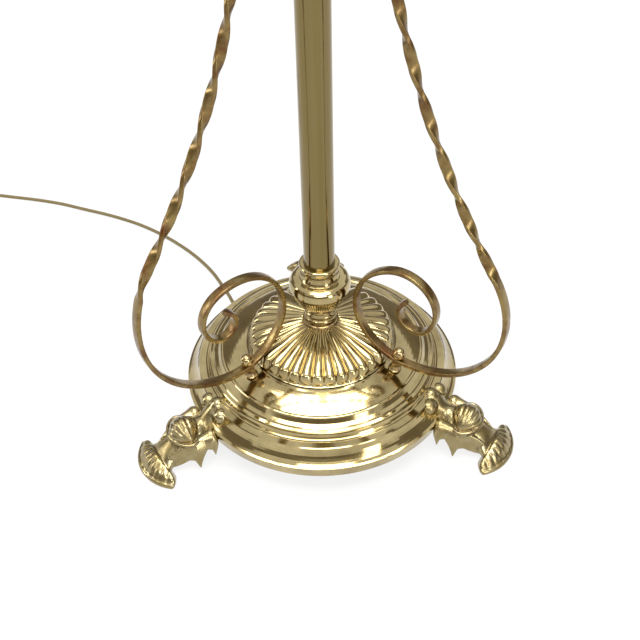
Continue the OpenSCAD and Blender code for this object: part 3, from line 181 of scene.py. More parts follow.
class LampFinishes(bpy.types.PropertyGroup):
    """Colours of the main finishes."""
    brass: colour_prop("Polished brass", "Base, knob and small parts", "#B5A371")
    brass_dark: colour_prop("Polished brass, dulled", "Patches and recesses", "#8C7A4C")
    cast: colour_prop("Cast brass", "Feet", "#9F926D")
    tube: colour_prop("Drawn tube", "Lacquered tube", "#807049")
    strip: colour_prop("Strip brass", "Wide faces of the stays", "#8D794A")
    strip_dark: colour_prop("Strip brass, oxidised", "Brown patches of the stays", "#63411F")
    silk: colour_prop("Flex braid", "Gold braid of the flex", "#6E6136")
    linen: colour_prop("Shade", "Cloth of the shade", "#D0C19B")


def arc_end(p, heading, radius, sweep):
    """Point and heading at the end of an arc; a positive radius turns left."""
    h = math.radians(heading)
    turned = heading + math.copysign(sweep, radius)
    k = math.radians(turned)
    return (p[0] + radius * (math.sin(k) - math.sin(h)),
            p[1] + radius * (math.cos(h) - math.cos(k))), turned


def through(points, t, closed=False):
    """Point on the smooth curve that runs through the given points, t from 0 to 1."""
    n = len(points) if closed else len(points) - 1
    x = min(max(t, 0.0), 1.0) * n
    i = min(int(x), n - 1)
    f = x - i
    if closed:
        a, b, c, d = (points[(i + k) % n] for k in (-1, 0, 1, 2))
    else:
        a, b, c, d = (points[min(max(i + k, 0), n)] for k in (-1, 0, 1, 2))
    return [0.5 * (2 * q + (r - p) * f + (2 * p - 5 * q + 4 * r - s) * f * f
                   + (3 * q - p - 3 * r + s) * f ** 3) for p, q, r, s in zip(a, b, c, d)]


def deselect():
    """Leaves edit mode and deselects everything."""
    if bpy.context.object and bpy.context.object.mode != "OBJECT":
        bpy.ops.object.mode_set(mode="OBJECT")
    bpy.ops.object.select_all(action="DESELECT")


def only(obj):
    """Makes obj the one selected and active object."""
    deselect()
    obj.select_set(True)
    bpy.context.view_layer.objects.active = obj


def formed(name, along, around, place, angle=40):
    """A grid of quads whose points are laid out by place(u, v), in millimetres."""
    deselect()
    bpy.ops.mesh.primitive_grid_add(x_subdivisions=along, y_subdivisions=around, size=1)
    obj = bpy.context.object
    obj.name = obj.data.name = name
    for vert in obj.data.vertices:
        vert.co = Vector(place(vert.co.x + 0.5, vert.co.y + 0.5)) * 0.001
    bpy.ops.object.mode_set(mode="EDIT")
    bpy.ops.mesh.select_all(action="SELECT")
    bpy.ops.mesh.remove_doubles(threshold=MERGE)
    bpy.ops.mesh.normals_make_consistent(inside=False)
    bpy.ops.object.mode_set(mode="OBJECT")
    bpy.ops.object.shade_smooth_by_angle(angle=math.radians(angle))
    return obj


def apply_all(obj):
    """Applies obj's modifiers in order."""
    only(obj)
    for modifier in list(obj.modifiers):
        bpy.ops.object.modifier_apply(modifier=modifier.name)


def tube_through(name, path, radius, sides):
    """A round tube along a path; the texture map runs once along it and once around it."""
    last = len(path) - 1

    def place(u, v):
        i = round(u * last)
        way = (path[min(i + 1, last)] - path[max(i - 1, 0)]).normalized()
        side = way.cross(Vector((0, 0, 1))).normalized()
        rise = side.cross(way)
        a = math.tau * v
        return path[i] + radius * (math.cos(a) * side + math.sin(a) * rise)

    return formed(name, last, sides, place, 80)


def node(tree, kind, settings=None, sockets=None):
    """Adds a node with its settings; a socket given as a value is linked."""
    made = tree.nodes.new(kind)
    for key, value in (settings or {}).items():
        setattr(made, key, value)
    for key, value in (sockets or {}).items():
        if isinstance(value, bpy.types.NodeSocket):
            tree.links.new(value, made.inputs[key])
        else:
            made.inputs[key].default_value = value
    return made


def seen_straight(tree):
    """A socket that is 1 for camera, glossy and transmission rays and 0 for the others."""
    seen = node(tree, "ShaderNodeLightPath")
    either = node(tree, "ShaderNodeMath", {"operation": "MAXIMUM"},
                  {0: seen.outputs["Is Camera Ray"], 1: seen.outputs["Is Glossy Ray"]})
    return node(tree, "ShaderNodeMath", {"operation": "MAXIMUM"},
                {0: either.outputs[0], 1: seen.outputs["Is Transmission Ray"]}).outputs[0]


def new_finish(name, colour, rough, **own):
    """A material with its shader's own sockets set. Returns material, tree and shader."""
    made = bpy.data.materials.new(name)
    made.use_nodes = True
    tree = made.node_tree
    shader = tree.nodes["Principled BSDF"]
    shader.inputs["Base Color"].default_value = (*colour, 1)
    shader.inputs["Roughness"].default_value = rough
    for key, value in own.items():
        shader.inputs[key.replace("_", " ")].default_value = value
    return made, tree, shader


def patched(tree, shader, light, dark, patch_mm, rough, stretch=1.0, spread=(0.35, 0.7)):
    """Colour and roughness that drift between two states in patches of the given size."""
    coords = node(tree, "ShaderNodeTexCoord").outputs["Object"]
    drawn = node(tree, "ShaderNodeMapping", None,
                 {"Vector": coords, "Scale": (1, 1, 1 / stretch)}).outputs[0]
    cloud = node(tree, "ShaderNodeTexNoise", None,
                 {"Vector": drawn, "Scale": 1000 / patch_mm, "Detail": 6.0, "Roughness": 0.6})
    share = node(tree, "ShaderNodeMapRange", None,
                 {"Value": cloud.outputs[0], "From Min": spread[0], "From Max": spread[1]})
    mixed = node(tree, "ShaderNodeMix", {"data_type": "RGBA"},
                 {0: share.outputs[0], 6: (*light, 1), 7: (*dark, 1)})
    tree.links.new(mixed.outputs[2], shader.inputs["Base Color"])
    gloss = node(tree, "ShaderNodeMapRange", None,
                 {"Value": share.outputs[0], "To Min": rough[0], "To Max": rough[1]})
    tree.links.new(gloss.outputs[0], shader.inputs["Roughness"])
    return drawn, mixed.outputs[2]


def grained(tree, shader, vector, grain_mm, strength, depth_mm):
    """Fine relief of the given grain."""
    grain = node(tree, "ShaderNodeTexNoise", None,
                 {"Vector": vector, "Scale": 1000 / grain_mm, "Detail": 4.0})
    bump = node(tree, "ShaderNodeBump", None,
                {"Height": grain.outputs[0], "Strength": strength, "Distance": depth_mm / 1000})
    tree.links.new(bump.outputs[0], shader.inputs["Normal"])


def spun_brass():
    """Spun and machine-polished brass under wax: mirror-like, with dull patches in it."""
    look = bpy.context.scene.lamp_finishes
    made, tree, shader = new_finish("polished_spun_brass", look.brass, 0.1, Metallic=1,
                                    Coat_Weight=0.8, Coat_Roughness=0.05)
    drawn, _ = patched(tree, shader, look.brass, look.brass_dark, 34, (0.07, 0.17))
    grained(tree, shader, drawn, 9, 0.12, 0.4)
    return made


def turned_brass():
    """Lathe-turned brass, buffed bright: small parts that catch a point of light."""
    look = bpy.context.scene.lamp_finishes
    made, tree, shader = new_finish("buffed_turned_brass", look.brass, 0.09, Metallic=1,
                                    Coat_Weight=0.3, Coat_Roughness=0.05)
    drawn, _ = patched(tree, shader, look.brass, srgb("#8E6E4C"), 9, (0.06, 0.16))
    grained(tree, shader, drawn, 2.5, 0.08, 0.1)
    return made


def drawn_brass():
    """Drawn brass tube, lacquered: olive, with faint lines along its length."""
    look = bpy.context.scene.lamp_finishes
    made, tree, shader = new_finish("lacquered_drawn_brass_tube", look.tube, 0.14, Metallic=1,
                                    Coat_Weight=0.25, Coat_Roughness=0.05)
    drawn, _ = patched(tree, shader, look.tube, srgb("#77683B"), 5, (0.11, 0.2), 60)
    grained(tree, shader, drawn, 0.8, 0.1, 0.05)
    return made


def forged_brass():
    """Rolled strip, bent and twisted hot: grey-green faces with brown oxide patches."""
    look = bpy.context.scene.lamp_finishes
    made, tree, shader = new_finish("hand_forged_brass_strip", look.strip, 0.28, Metallic=1,
                                    Coat_Weight=0.3, Coat_Roughness=0.12)
    drawn, _ = patched(tree, shader, look.strip, look.strip_dark, 16, (0.24, 0.42), 1.0,
                       (0.38, 0.66))
    grained(tree, shader, drawn, 5, 0.25, 0.35)
    return made


def cast_brass():
    """Sand-cast brass, filed and polished on its high places; its recesses dark with tarnish and
    painted shade.
    """
    look = bpy.context.scene.lamp_finishes
    made, tree, shader = new_finish("polished_cast_brass", look.cast, 0.24, Metallic=1,
                                    Coat_Weight=0.3, Coat_Roughness=0.15)
    drawn, colour = patched(tree, shader, look.cast, look.brass_dark, 14, (0.18, 0.38))
    # Concave places turn dark brown: partly the tarnish left in recesses, partly painted shade;
    # rubbed edges keep the lighter colour
    edge = node(tree, "ShaderNodeNewGeometry").outputs["Pointiness"]
    hollow_tarnish_and_shade = node(tree, "ShaderNodeMapRange", None,
                  {"Value": edge, "From Min": 0.5, "From Max": 0.44})
    tarnished_and_shaded = node(tree, "ShaderNodeMix", {"data_type": "RGBA"},
                {0: hollow_tarnish_and_shade.outputs[0], 6: colour, 7: (*srgb("#4A3B22"), 1)})
    tree.links.new(tarnished_and_shaded.outputs[2], shader.inputs["Base Color"])
    grained(tree, shader, drawn, 1.6, 0.35, 0.25)
    return made


def tarnished_brass():
    """Brass left unpolished under the balls: dull gold with brown."""
    made, tree, shader = new_finish("tarnished_brass", srgb("#6E5F57"), 0.3, Metallic=1)
    drawn, _ = patched(tree, shader, srgb("#AD9669"), srgb("#6F5D49"), 5, (0.22, 0.45))
    grained(tree, shader, drawn, 0.9, 0.3, 0.1)
    return made


def socket_brass():
    """Pressed brass of electrical parts: satin and even."""
    made, tree, shader = new_finish("satin_pressed_brass", srgb("#B99B58"), 0.3, Metallic=1)
    drawn, _ = patched(tree, shader, srgb("#BC9E5A"), srgb("#937740"), 8, (0.24, 0.4))
    grained(tree, shader, drawn, 0.5, 0.15, 0.05)
    return made


def painted_iron():
    """Cast iron under black paint: a sandy skin."""
    made, tree, shader = new_finish("painted_cast_iron", srgb("#1D1C1C"), 0.55)
    drawn, _ = patched(tree, shader, srgb("#232222"), srgb("#131212"), 12, (0.45, 0.7))
    grained(tree, shader, drawn, 1.2, 0.6, 0.3)
    return made


def plated_steel():
    """Zinc-plated steel: pale grey with a soft sheen."""
    made, tree, shader = new_finish("zinc_plated_steel", srgb("#A9A8A4"), 0.3, Metallic=1)
    drawn, _ = patched(tree, shader, srgb("#B2B1AC"), srgb("#8B8A86"), 4, (0.25, 0.45))
    grained(tree, shader, drawn, 0.7, 0.15, 0.05)
    return made


def moulded(name, light, dark, rough, grain_mm, **own):
    """A moulded plastic: nearly even, with its mould's fine grain."""
    made, tree, shader = new_finish(name, srgb(light), rough, **own)
    drawn, _ = patched(tree, shader, srgb(light), srgb(dark), 10, (rough * 0.85, rough * 1.2))
    grained(tree, shader, drawn, grain_mm, 0.12, 0.05)
    return made


def shade_linen():
    """Slubbed linen on card: threads a millimetre apart, drawn coarse enough to show."""
    look = bpy.context.scene.lamp_finishes
    made, tree, shader = new_finish("woven_linen_on_card", look.linen, 0.85,
                                    Sheen_Weight=0.25, Sheen_Roughness=0.5)
    drawn, _ = patched(tree, shader, look.linen, srgb("#B9A87C"), 2.4, (0.8, 0.95), 6)
    cross = node(tree, "ShaderNodeMapping", None, {"Vector": drawn, "Scale": (1, 1, 60)})
    weft = node(tree, "ShaderNodeTexNoise", None,
                {"Vector": cross.outputs[0], "Scale": 60.0, "Detail": 2.0})
    warp = node(tree, "ShaderNodeTexNoise", None, {"Vector": drawn, "Scale": 900.0})
    both = node(tree, "ShaderNodeMath", {"operation": "ADD"},
                {0: weft.outputs[0], 1: warp.outputs[0]})
    bump = node(tree, "ShaderNodeBump", None,
                {"Height": both.outputs[0], "Strength": 0.35, "Distance": 0.0004})
    tree.links.new(bump.outputs[0], shader.inputs["Normal"])
    return made


def braid(name, light, dark, across, along):
    """Crossed threads on the piece's own map: across strands around and along its length."""
    made, tree, shader = new_finish(name, light, 0.45, Sheen_Weight=0.35, Sheen_Roughness=0.35)
    uv = node(tree, "ShaderNodeTexCoord").outputs["UV"]
    heights = []
    for lean in (-1, 1):
        turned = node(tree, "ShaderNodeMapping", None,
                      {"Vector": uv, "Scale": (along, across * lean, 1)})
        split = node(tree, "ShaderNodeSeparateXYZ", None, {0: turned.outputs[0]})
        total = node(tree, "ShaderNodeMath", {"operation": "ADD"},
                     {0: split.outputs[0], 1: split.outputs[1]})
        wave = node(tree, "ShaderNodeMath", {"operation": "SINE"}, {0: total.outputs[0]})
        heights.append(wave.outputs[0])
    weave = node(tree, "ShaderNodeMath", {"operation": "MAXIMUM"},
                 {0: heights[0], 1: heights[1]})
    share = node(tree, "ShaderNodeMapRange", None,
                 {"Value": weave.outputs[0], "From Min": -0.6, "From Max": 0.9})
    # Crowns of the strands take the light colour and the gaps between them the dark one: painted
    # shade between the strands
    mixed = node(tree, "ShaderNodeMix", {"data_type": "RGBA"},
                 {0: share.outputs[0], 6: (*dark, 1), 7: (*light, 1)})
    tree.links.new(mixed.outputs[2], shader.inputs["Base Color"])
    bump = node(tree, "ShaderNodeBump", None,
                {"Height": share.outputs[0], "Strength": 0.5, "Distance": 0.0003})
    tree.links.new(bump.outputs[0], shader.inputs["Normal"])
    return made


def trim_braid():
    """Woven gimp that edges the shade: dull gold cord."""
    made, tree, shader = new_finish("woven_gimp_trim", srgb("#A98F57"), 0.7, Sheen_Weight=0.3)
    drawn, _ = patched(tree, shader, srgb("#B59A60"), srgb("#86703F"), 1.8, (0.6, 0.8))
    grained(tree, shader, drawn, 1.2, 0.8, 0.4)
    return made


def lamp_glass():
    """Blown soda glass, clear."""
    made, tree, shader = new_finish("clear_blown_glass", (1, 1, 1), 0.02, IOR=1.5,
                                    Transmission_Weight=1.0)
    coords = node(tree, "ShaderNodeTexCoord").outputs["Object"]
    grained(tree, shader, coords, 25, 0.03, 0.3)
    return made


def dress(material, *names):
    """Puts one material on the named solids."""
    for name in names:
        mesh = NODES[name].data
        if not mesh.materials:
            mesh.materials.append(material)
        for slot in NODES[name].material_slots:
            slot.material = material


def give(obj, material, slot, body, *stands_for):
    """Finishes a new piece: its material, body and the solids that it stands for; slot is not used.
    """
    obj.data.materials.clear()
    obj.data.materials.append(material)
    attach(obj, body)
    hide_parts(*stands_for)


class LAMP_OT_camera(bpy.types.Operator):
    """Camera above and in front of the base, at the height of a standing view."""
    bl_idname = "lamp.camera"
    bl_label = "Camera"

    def execute(self, context):
        lens = bpy.data.cameras.new("view")
        lens.sensor_width = 36
        lens.lens = 59.06
        lens.clip_start = 0.02
        view = bpy.data.objects.new("view", lens)
        right = Vector((0.99895, -0.04154, -0.01908))
        up = Vector((0.04242, 0.68718, 0.72525))
        back = -Vector((0.01701, 0.72530, -0.68823))
        pose = Matrix((right, up, back)).transposed().to_4x4()
        pose.translation = Vector((-0.01793, -0.73401, 0.79136))
        view.matrix_world = pose
        context.scene.collection.objects.link(view)
        context.scene.camera = view
        return {"FINISHED"}


def coil_point(t):
    """Centre of the flex after t turns of the coil."""
    m = t % (2 * LAYER_TURNS)
    wave = m if m < LAYER_TURNS else 2 * LAYER_TURNS - m
    radius = COIL_RADIUS + COIL_PITCH * (LAYER_TURNS / 2 - wave)
    k = math.floor(t / LAYER_TURNS + 0.5)
    d = t - k * LAYER_TURNS
    last = math.ceil(COIL_TURNS / LAYER_TURNS)
    if k < 1 or k >= last:
        layer = 0 if k < 1 else last - 1
    else:
        layer = k - 1 if d < -0.25 else k if d > 0.25 else k - 0.5 + 2 * d
    a = math.radians(COIL_START - 360 * t)
    return Vector((COIL_CENTRE[0] + radius * math.cos(a), COIL_CENTRE[1] + radius * math.sin(a),
                   COIL_HEIGHT + COIL_PITCH * layer))


def flex_path():
    """Centre line of the whole flex: floor, coil and tail, in millimetres."""
    rings = math.ceil(COIL_TURNS * 24)
    coil = [coil_point(COIL_TURNS * i / rings) for i in range(rings + 1)]
    into = (coil[0] - coil[1]) * Vector((1, 1, 0))
    into.normalize()
    out = (coil[-1] - coil[-2]) * Vector((1, 1, 0))
    out.normalize()
    coil = [coil[0] + 4 * into, coil[0] + 2 * into, *coil, coil[-1] + 2 * out, coil[-1] + 4 * out]
    route = [*FLEX_DROP, *((x, y, FLEX_LAY) for x, y in FLEX_FLOOR),
             coil[0] + 16 * into - Vector((0, 0, COIL_HEIGHT - FLEX_LAY)), coil[0]]
    steps = 4 * (len(route) - 1)
    floor = [Vector(through(route, i / steps)) for i in range(steps)]
    end = coil[-1]
    head = Vector((math.cos(math.radians(PLUG_HEADING)), math.sin(math.radians(PLUG_HEADING)), 0))
    tail = [end, end + 6 * out, end + 20 * out - Vector((0, 0, 2.6)),
            end + 36 * out - Vector((0, 0, 6.8)), PLUG_BACK - 22 * head + Vector((0, 0, 1.6)),
            PLUG_BACK - 9 * head, PLUG_BACK - 0.1 * head]
    rest = [Vector(through(tail, i / 30)) for i in range(1, 31)]
    return [*floor, *coil, *rest]


class LAMP_OT_flex(bpy.types.Operator):
    """Braided flex over the floor, its coil and its tail."""
    bl_idname = "lamp.flex"
    bl_label = "Flex"

    def execute(self, context):
        sizes = context.scene.lamp_sizes
        path = flex_path()
        flex = tube_through("flex", path, sizes.flex_diameter * 500 - 0.02, 12)
        length = sum((b - a).length for a, b in zip(path, path[1:]))
        look = context.scene.lamp_finishes
        # The braid's dark colour is painted shade in the gaps between its strands
        weave = braid("braided_gold_silk", look.silk, srgb("#5E4A24"),
                      BRAID_STRANDS * math.tau, length / BRAID_PITCH * math.tau)
        give(flex, weave, "cord_flex", "stand", "cord", "cord_coil", "cord_tail")
        dress(weave, "flex_lower", "flex_upper")
        return {"FINISHED"}


def stay_line(row):
    """Centre line of a stay from curl to collar: radius, height, heading and run past the bow."""
    loop, loop_s, mid, mid_s, curl, curl_s, rest, bow, bow_s, easy, easy_s, _, _ = row
    heading = -POST_LEAN
    loop_r, mid_r, curl_r, bow_r, easy_r = (
        r * k for r, k in zip(STAY_RADII, (loop, mid, curl, bow, easy)))

    def bend(p, h, radius, sweep, step=2.5):
        n = max(3, round(abs(radius) * math.radians(sweep) / step))
        return [arc_end(p, h, radius, sweep * k / n) for k in range(1, n + 1)]

    inward = []
    p, h = POST, heading + 180
    for radius, sweep in ((-loop_r, loop_s), (-mid_r, mid_s), (-curl_r, curl_s)):
        inward += bend(p, h, radius, sweep)
        p, h = inward[-1]
    bow_run = bow_r * math.radians(bow_s)
    line = [(*q, a + 180, -bow_run) for q, a in reversed(inward)]
    line.append((*POST, heading, -bow_run))
    out = bend(POST, heading, loop_r, rest)
    line += [(*q, a, -bow_run) for q, a in out]
    p, h = out[-1]
    for radius, sweep, start in ((bow_r, bow_s, -bow_run), (-easy_r, easy_s, 0)):
        part = bend(p, h, radius, sweep)
        length = abs(radius) * math.radians(sweep)
        line += [(*q, a, start + length * (k + 1) / len(part)) for k, (q, a) in enumerate(part)]
        p, h = part[-1]
    # A straight and a last bend meet the collar
    k = math.radians(h)
    dx, dz = COLLAR[0] - p[0], COLLAR[1] - p[1]
    last_r = (dz * math.cos(k) - dx * math.sin(k)) / (math.sin(k) - 1)
    straight = (dx + last_r * (1 - math.sin(k))) / math.cos(k)
    done = line[-1][3]
    n = max(2, round(straight / 2.5))
    line += [(p[0] + straight * i / n * math.cos(k), p[1] + straight * i / n * math.sin(k), h,
              done + straight * i / n) for i in range(1, n + 1)]
    p, done = line[-1][:2], done + straight
    part = bend(p, h, -last_r, h - 90)
    length = last_r * math.radians(h - 90)
    line += [(*q, a, done + length * (i + 1) / len(part)) for i, (q, a) in enumerate(part)]
    line.append((COLLAR[0], COLLAR[1] + COLLAR_GRIP, 90, done + length))
    return line


def strip_section(width, thick, edge):
    """Outline of the strip with rounded edges, as offsets across it, closed."""
    corners = [(width / 2 - edge, thick / 2 - edge, 0), (edge - width / 2, thick / 2 - edge, 90),
               (edge - width / 2, edge - thick / 2, 180), (width / 2 - edge, edge - thick / 2, 270)]
    points = []
    for x, y, turn in corners:
        for k in range(4):
            a = math.radians(turn + 30 * k)
            points.append((x + edge * math.cos(a), y + edge * math.sin(a)))
    return points


class LAMP_OT_stays(bpy.types.Operator):
    """Three scrolled and twisted stays from the posts to the collar."""
    bl_idname = "lamp.stays"
    bl_label = "Stays"

    def execute(self, context):
        sizes = context.scene.lamp_sizes
        metal = forged_brass()
        outline = strip_section(*(1000 * s for s in (
            sizes.strip_width, sizes.strip_thickness, sizes.strip_edge)))
        for name, (spoke, row) in STAYS.items():
            line = stay_line(row)
            full, start, lean = line[-1][3], row[11], math.tan(math.radians(row[12]))
            turns = round((full - start) / (1000 * sizes.half_turn))
            gone = [0.0]
            for a, b in zip(line, line[1:]):
                gone.append(gone[-1] + math.hypot(b[0] - a[0], b[1] - a[1]))
            rings = []
            for (x, z, heading, run), way in zip(line, gone):
                fade = 1 - max(run, 0) / full
                h = math.radians(heading)
                centre = Vector((x, lean * (x - POST[0]) * fade, z))
                d = Vector((math.cos(h), lean * math.cos(h) * fade, math.sin(h))).normalized()
                side = (Vector((0, 1, 0)) - d.y * d).normalized()
                up = d.cross(side)
                a = math.radians(-180 * turns * max(0, run - start) / (full - start))
                wide = side * math.cos(a) + up * math.sin(a)
                thin = up * math.cos(a) - side * math.sin(a)
                # The curl's tip is forged round and a little wide
                tip = through(TIP_SHARES, min(way / TIP_LENGTH, 1))[0]
                rings.append([centre + wide * w * tip + thin * t for w, t in outline])
            ends = [[sum(r, Vector()) / len(r)] * len(outline) for r in (rings[0], rings[-1])]
            rings = [ends[0], *rings, ends[1]]
            turn = Matrix.Rotation(math.radians(spoke), 3, "Z")
            last, count = len(rings) - 1, len(outline)
            stay = formed(f"stay_{name}_strip", last, count, lambda u, v: (
                turn @ rings[round(u * last)][round(v * count) % count]), 35)
            give(stay, metal, "polished_brass", "stand", f"stay_{name}")
        return {"FINISHED"}


class LAMP_OT_cap(bpy.types.Operator):
    """Gadrooned cap: rounded lobes with sharp valleys and a plain border."""
    bl_idname = "lamp.cap"
    bl_label = "Gadrooned cap"

    def execute(self, context):
        sizes = context.scene.lamp_sizes
        count, depth = sizes.gadroons, sizes.gadroon_depth * 1000

        def place(u, v):
            a = math.tau * v
            if u < 0.999:
                radius, height, share, lean = through(CAP_ROWS, u / 0.97)
            else:
                radius, height, share, lean = CAP_BORE, CAP_ROWS[-1][1], 0, 0
            lobe = abs(math.sin(math.pi * count * v)) ** 0.7
            sink = max(share, 0) * depth * (1 - lobe)
            k = math.radians(lean)
            radius -= sink * math.sin(k)
            return radius * math.cos(a), radius * math.sin(a), height - sink * math.cos(k)

        cap = formed("cap_gadroons", 40, count * 12, place, 55)
        give(cap, bpy.data.materials["polished_spun_brass"], "polished_brass", "stand",
             "gadrooned_cap")
        return {"FINISHED"}


def body_at(u, v):
    """Body of the foot, from the lobes on the base out to the toe."""
    x, width, top, low = through(FOOT_BODY, min(max((u - 0.02) / 0.96, 0), 1))
    mid = low + 0.35 * (top - low)
    a = -math.tau * v
    s, c = math.sin(a), math.cos(a)
    rise = (top - mid) * s if s > 0 else -(mid - low) * (-s) ** 0.5
    keep = 0 if u < 0.01 or u > 0.99 else 1
    return RIM + x, width * c * keep, mid + rise * keep


def leaf_at(side):
    """Places of one acanthus leaf: rounded above, its edge drawn straight from tip to notch."""
    def place(u, v):
        t = min(max((u - 0.02) / 0.96, 0), 1)
        last = len(FOOT_LEAF) - 1
        i = min(int(t * last), last - 1)
        f = t * last - i
        _, top_y, top_z, fold_y, fold_z, _, _ = through(FOOT_LEAF, t)
        a, b = FOOT_LEAF[i], FOOT_LEAF[i + 1]
        x, edge_y, edge_z = (a[k] + (b[k] - a[k]) * f for k in (0, 5, 6))
        ring = [(top_y, top_z), (fold_y, fold_z), (edge_y, edge_z), (edge_y - 4.5, edge_z + 0.8),
                (LEAF_ROOT, fold_z - 2), (LEAF_ROOT, top_z - 2)]
        y, z = through(ring, v, True)
        if u < 0.01 or u > 0.99:
            y, z = 15, sum(p[1] for p in ring) / 6
        return RIM + x, side * y, z
    return place


def almond_at(u, v):
    """Almond across the foot: seven ribs along it, a shallow keel below, pointed ends."""
    t = -1 + 2 * u
    r = ALMOND_RADIUS * max(math.cos(math.pi / 2 * t), 0) ** 0.7 if 0.01 < u < 0.99 else 0

    def rib(w):
        a = math.radians(-4 + 188 * w)
        k = 0.86 + 0.14 * abs(math.sin(math.pi * 7 * w)) ** 0.55
        return r * k * math.cos(a), r * k * math.sin(a) * 1.06

    if v <= 0.75:
        x, z = rib(v / 0.75)
    else:
        w = (v - 0.75) / 0.25
        (x0, z0), (x1, z1) = rib(1), rib(0)
        x, z = x0 + (x1 - x0) * w, z0 + (z1 - z0) * w - min(r, 4) * math.sin(math.pi * w)
    return ALMOND_CENTRE[0] + x, ALMOND_HALF_LENGTH * t, ALMOND_CENTRE[1] + z


def bed_outline(v):
    """Outline of the almond's bed, seen from above."""
    a = -math.tau * v
    c = math.cos(a)
    return BED_RADIUS * math.copysign(abs(c) ** 1.15, c), BED_HALF_LENGTH * math.sin(a)


def bed_at(u, v):
    """Flat bed under the almond."""
    x, y = bed_outline(v)
    k, z = ((0, -5), (1, -5), (0.98, -0.7), (0, -0.7))[min(round(u * 3), 3)]
    return ALMOND_CENTRE[0] + x * k, y * k, ALMOND_CENTRE[1] + z


def border_at(u, v):
    """Raised border round the bed."""
    x, y = bed_outline(u)
    a = math.tau * v
    shrink = 0.96 + 0.08 * math.cos(a)
    return ALMOND_CENTRE[0] + x * shrink, y * shrink, ALMOND_CENTRE[1] - 0.6 + 1.6 * math.sin(a)


def toe_at(ribs):
    """Places of the shell toe: a fan of ribs over a plain lip, with rounded ends."""
    def place(u, v):
        a = math.radians(TOE_HALF_ANGLE * (2 * u - 1))
        w = abs(2 * u - 1)
        k = 1.7 * abs(math.sin(math.pi * ribs * u)) ** 0.6
        near = math.sqrt(max(1 - (max(w - 0.9, 0) / 0.1) ** 2, 0))
        r0, z0 = TOE_RADIUS * (0.61 + 0.2 * w ** 3), 17 - 10 * w ** 1.6
        r1, z1 = 40.6, 4.6
        ring = [(r0 - 6, 0), (36, 0), (42.8, 0), (TOE_RADIUS, 1.4), (42.9, 3.9),
                (r1, z1 + 0.4 * k), (r1 + 0.35 * (r0 - r1), z1 + 0.5 * (z0 - z1) + k),
                (r1 + 0.75 * (r0 - r1), z1 + 0.85 * (z0 - z1) + 0.7 * k), (r0, z0),
                (r0 - 2.4, z0 - 3)]
        r, z = through(ring, v, True)
        r, z = 38 + (r - 38) * near, 4 + (max(z, 0) - 4) * near
        return TOE_CENTRE + r * math.cos(a), r * math.sin(a), z
    return place


def foot_parts(ribs):
    """The forms of one foot along +X, each a closed shape."""
    parts = [formed("toe", 160, 40, toe_at(ribs)), formed("body", 60, 40, body_at),
             formed("leaf", 78, 30, leaf_at(1)), formed("leaf", 78, 30, leaf_at(-1)),
             formed("almond", 24, 120, almond_at), formed("bed", 3, 48, bed_at),
             formed("border", 64, 12, border_at)]
    for x, y, z in LOBES:
        deselect()
        bpy.ops.mesh.primitive_uv_sphere_add(
            segments=32, ring_count=20, radius=LOBE_RADIUS / 1000,
            location=((RIM + x) * 0.001, y * 0.001, z * 0.001))
        parts.append(bpy.context.object)
    # The lug that lies under the shell and takes the foot's screw
    deselect()
    bpy.ops.mesh.primitive_cube_add(size=0.008, location=(0.1255, 0, 0.01905),
                                    scale=(5.6, 2.25, 1))
    parts.append(bpy.context.object)
    return parts


def joined(parts):
    """One object out of several, each with its place in its mesh."""
    deselect()
    for part in parts:
        part.select_set(True)
    bpy.context.view_layer.objects.active = parts[0]
    bpy.ops.object.transform_apply(location=True, rotation=True, scale=True)
    bpy.ops.object.join()
    bpy.ops.object.mode_set(mode="EDIT")
    bpy.ops.mesh.select_all(action="SELECT")
    bpy.ops.mesh.remove_doubles(threshold=MERGE)
    bpy.ops.object.mode_set(mode="OBJECT")
    return bpy.context.object


class LAMP_OT_feet(bpy.types.Operator):
    """Three cast feet: acanthus leaf over the rim, ribbed almond and shell toe."""
    bl_idname = "lamp.feet"
    bl_label = "Cast feet"

    def execute(self, context):
        sizes = context.scene.lamp_sizes
        foot = joined(foot_parts(sizes.toe_ribs))
        skin = foot.modifiers.new("skin", "REMESH")
        skin.mode = "VOXEL"
        skin.voxel_size = sizes.cast_voxel
        skin.use_smooth_shade = True
        soft = foot.modifiers.new("fettling", "SMOOTH")
        soft.factor = 0.5
        soft.iterations = 2
        apply_all(foot)
        for vert in foot.data.vertices:
            vert.co.z = max(vert.co.z, 0)
        metal = cast_brass()
        for name, spoke in SPOKES.items():
            copy = foot.copy()
            copy.data = foot.data.copy()
            copy.name = copy.data.name = f"cast_foot_{name}"
            context.scene.collection.objects.link(copy)
            copy.data.transform(Matrix.Rotation(math.radians(spoke), 4, "Z"))
            give(copy, metal, "polished_brass", "stand", f"foot_{name}")
        bpy.data.objects.remove(foot)
        return {"FINISHED"}


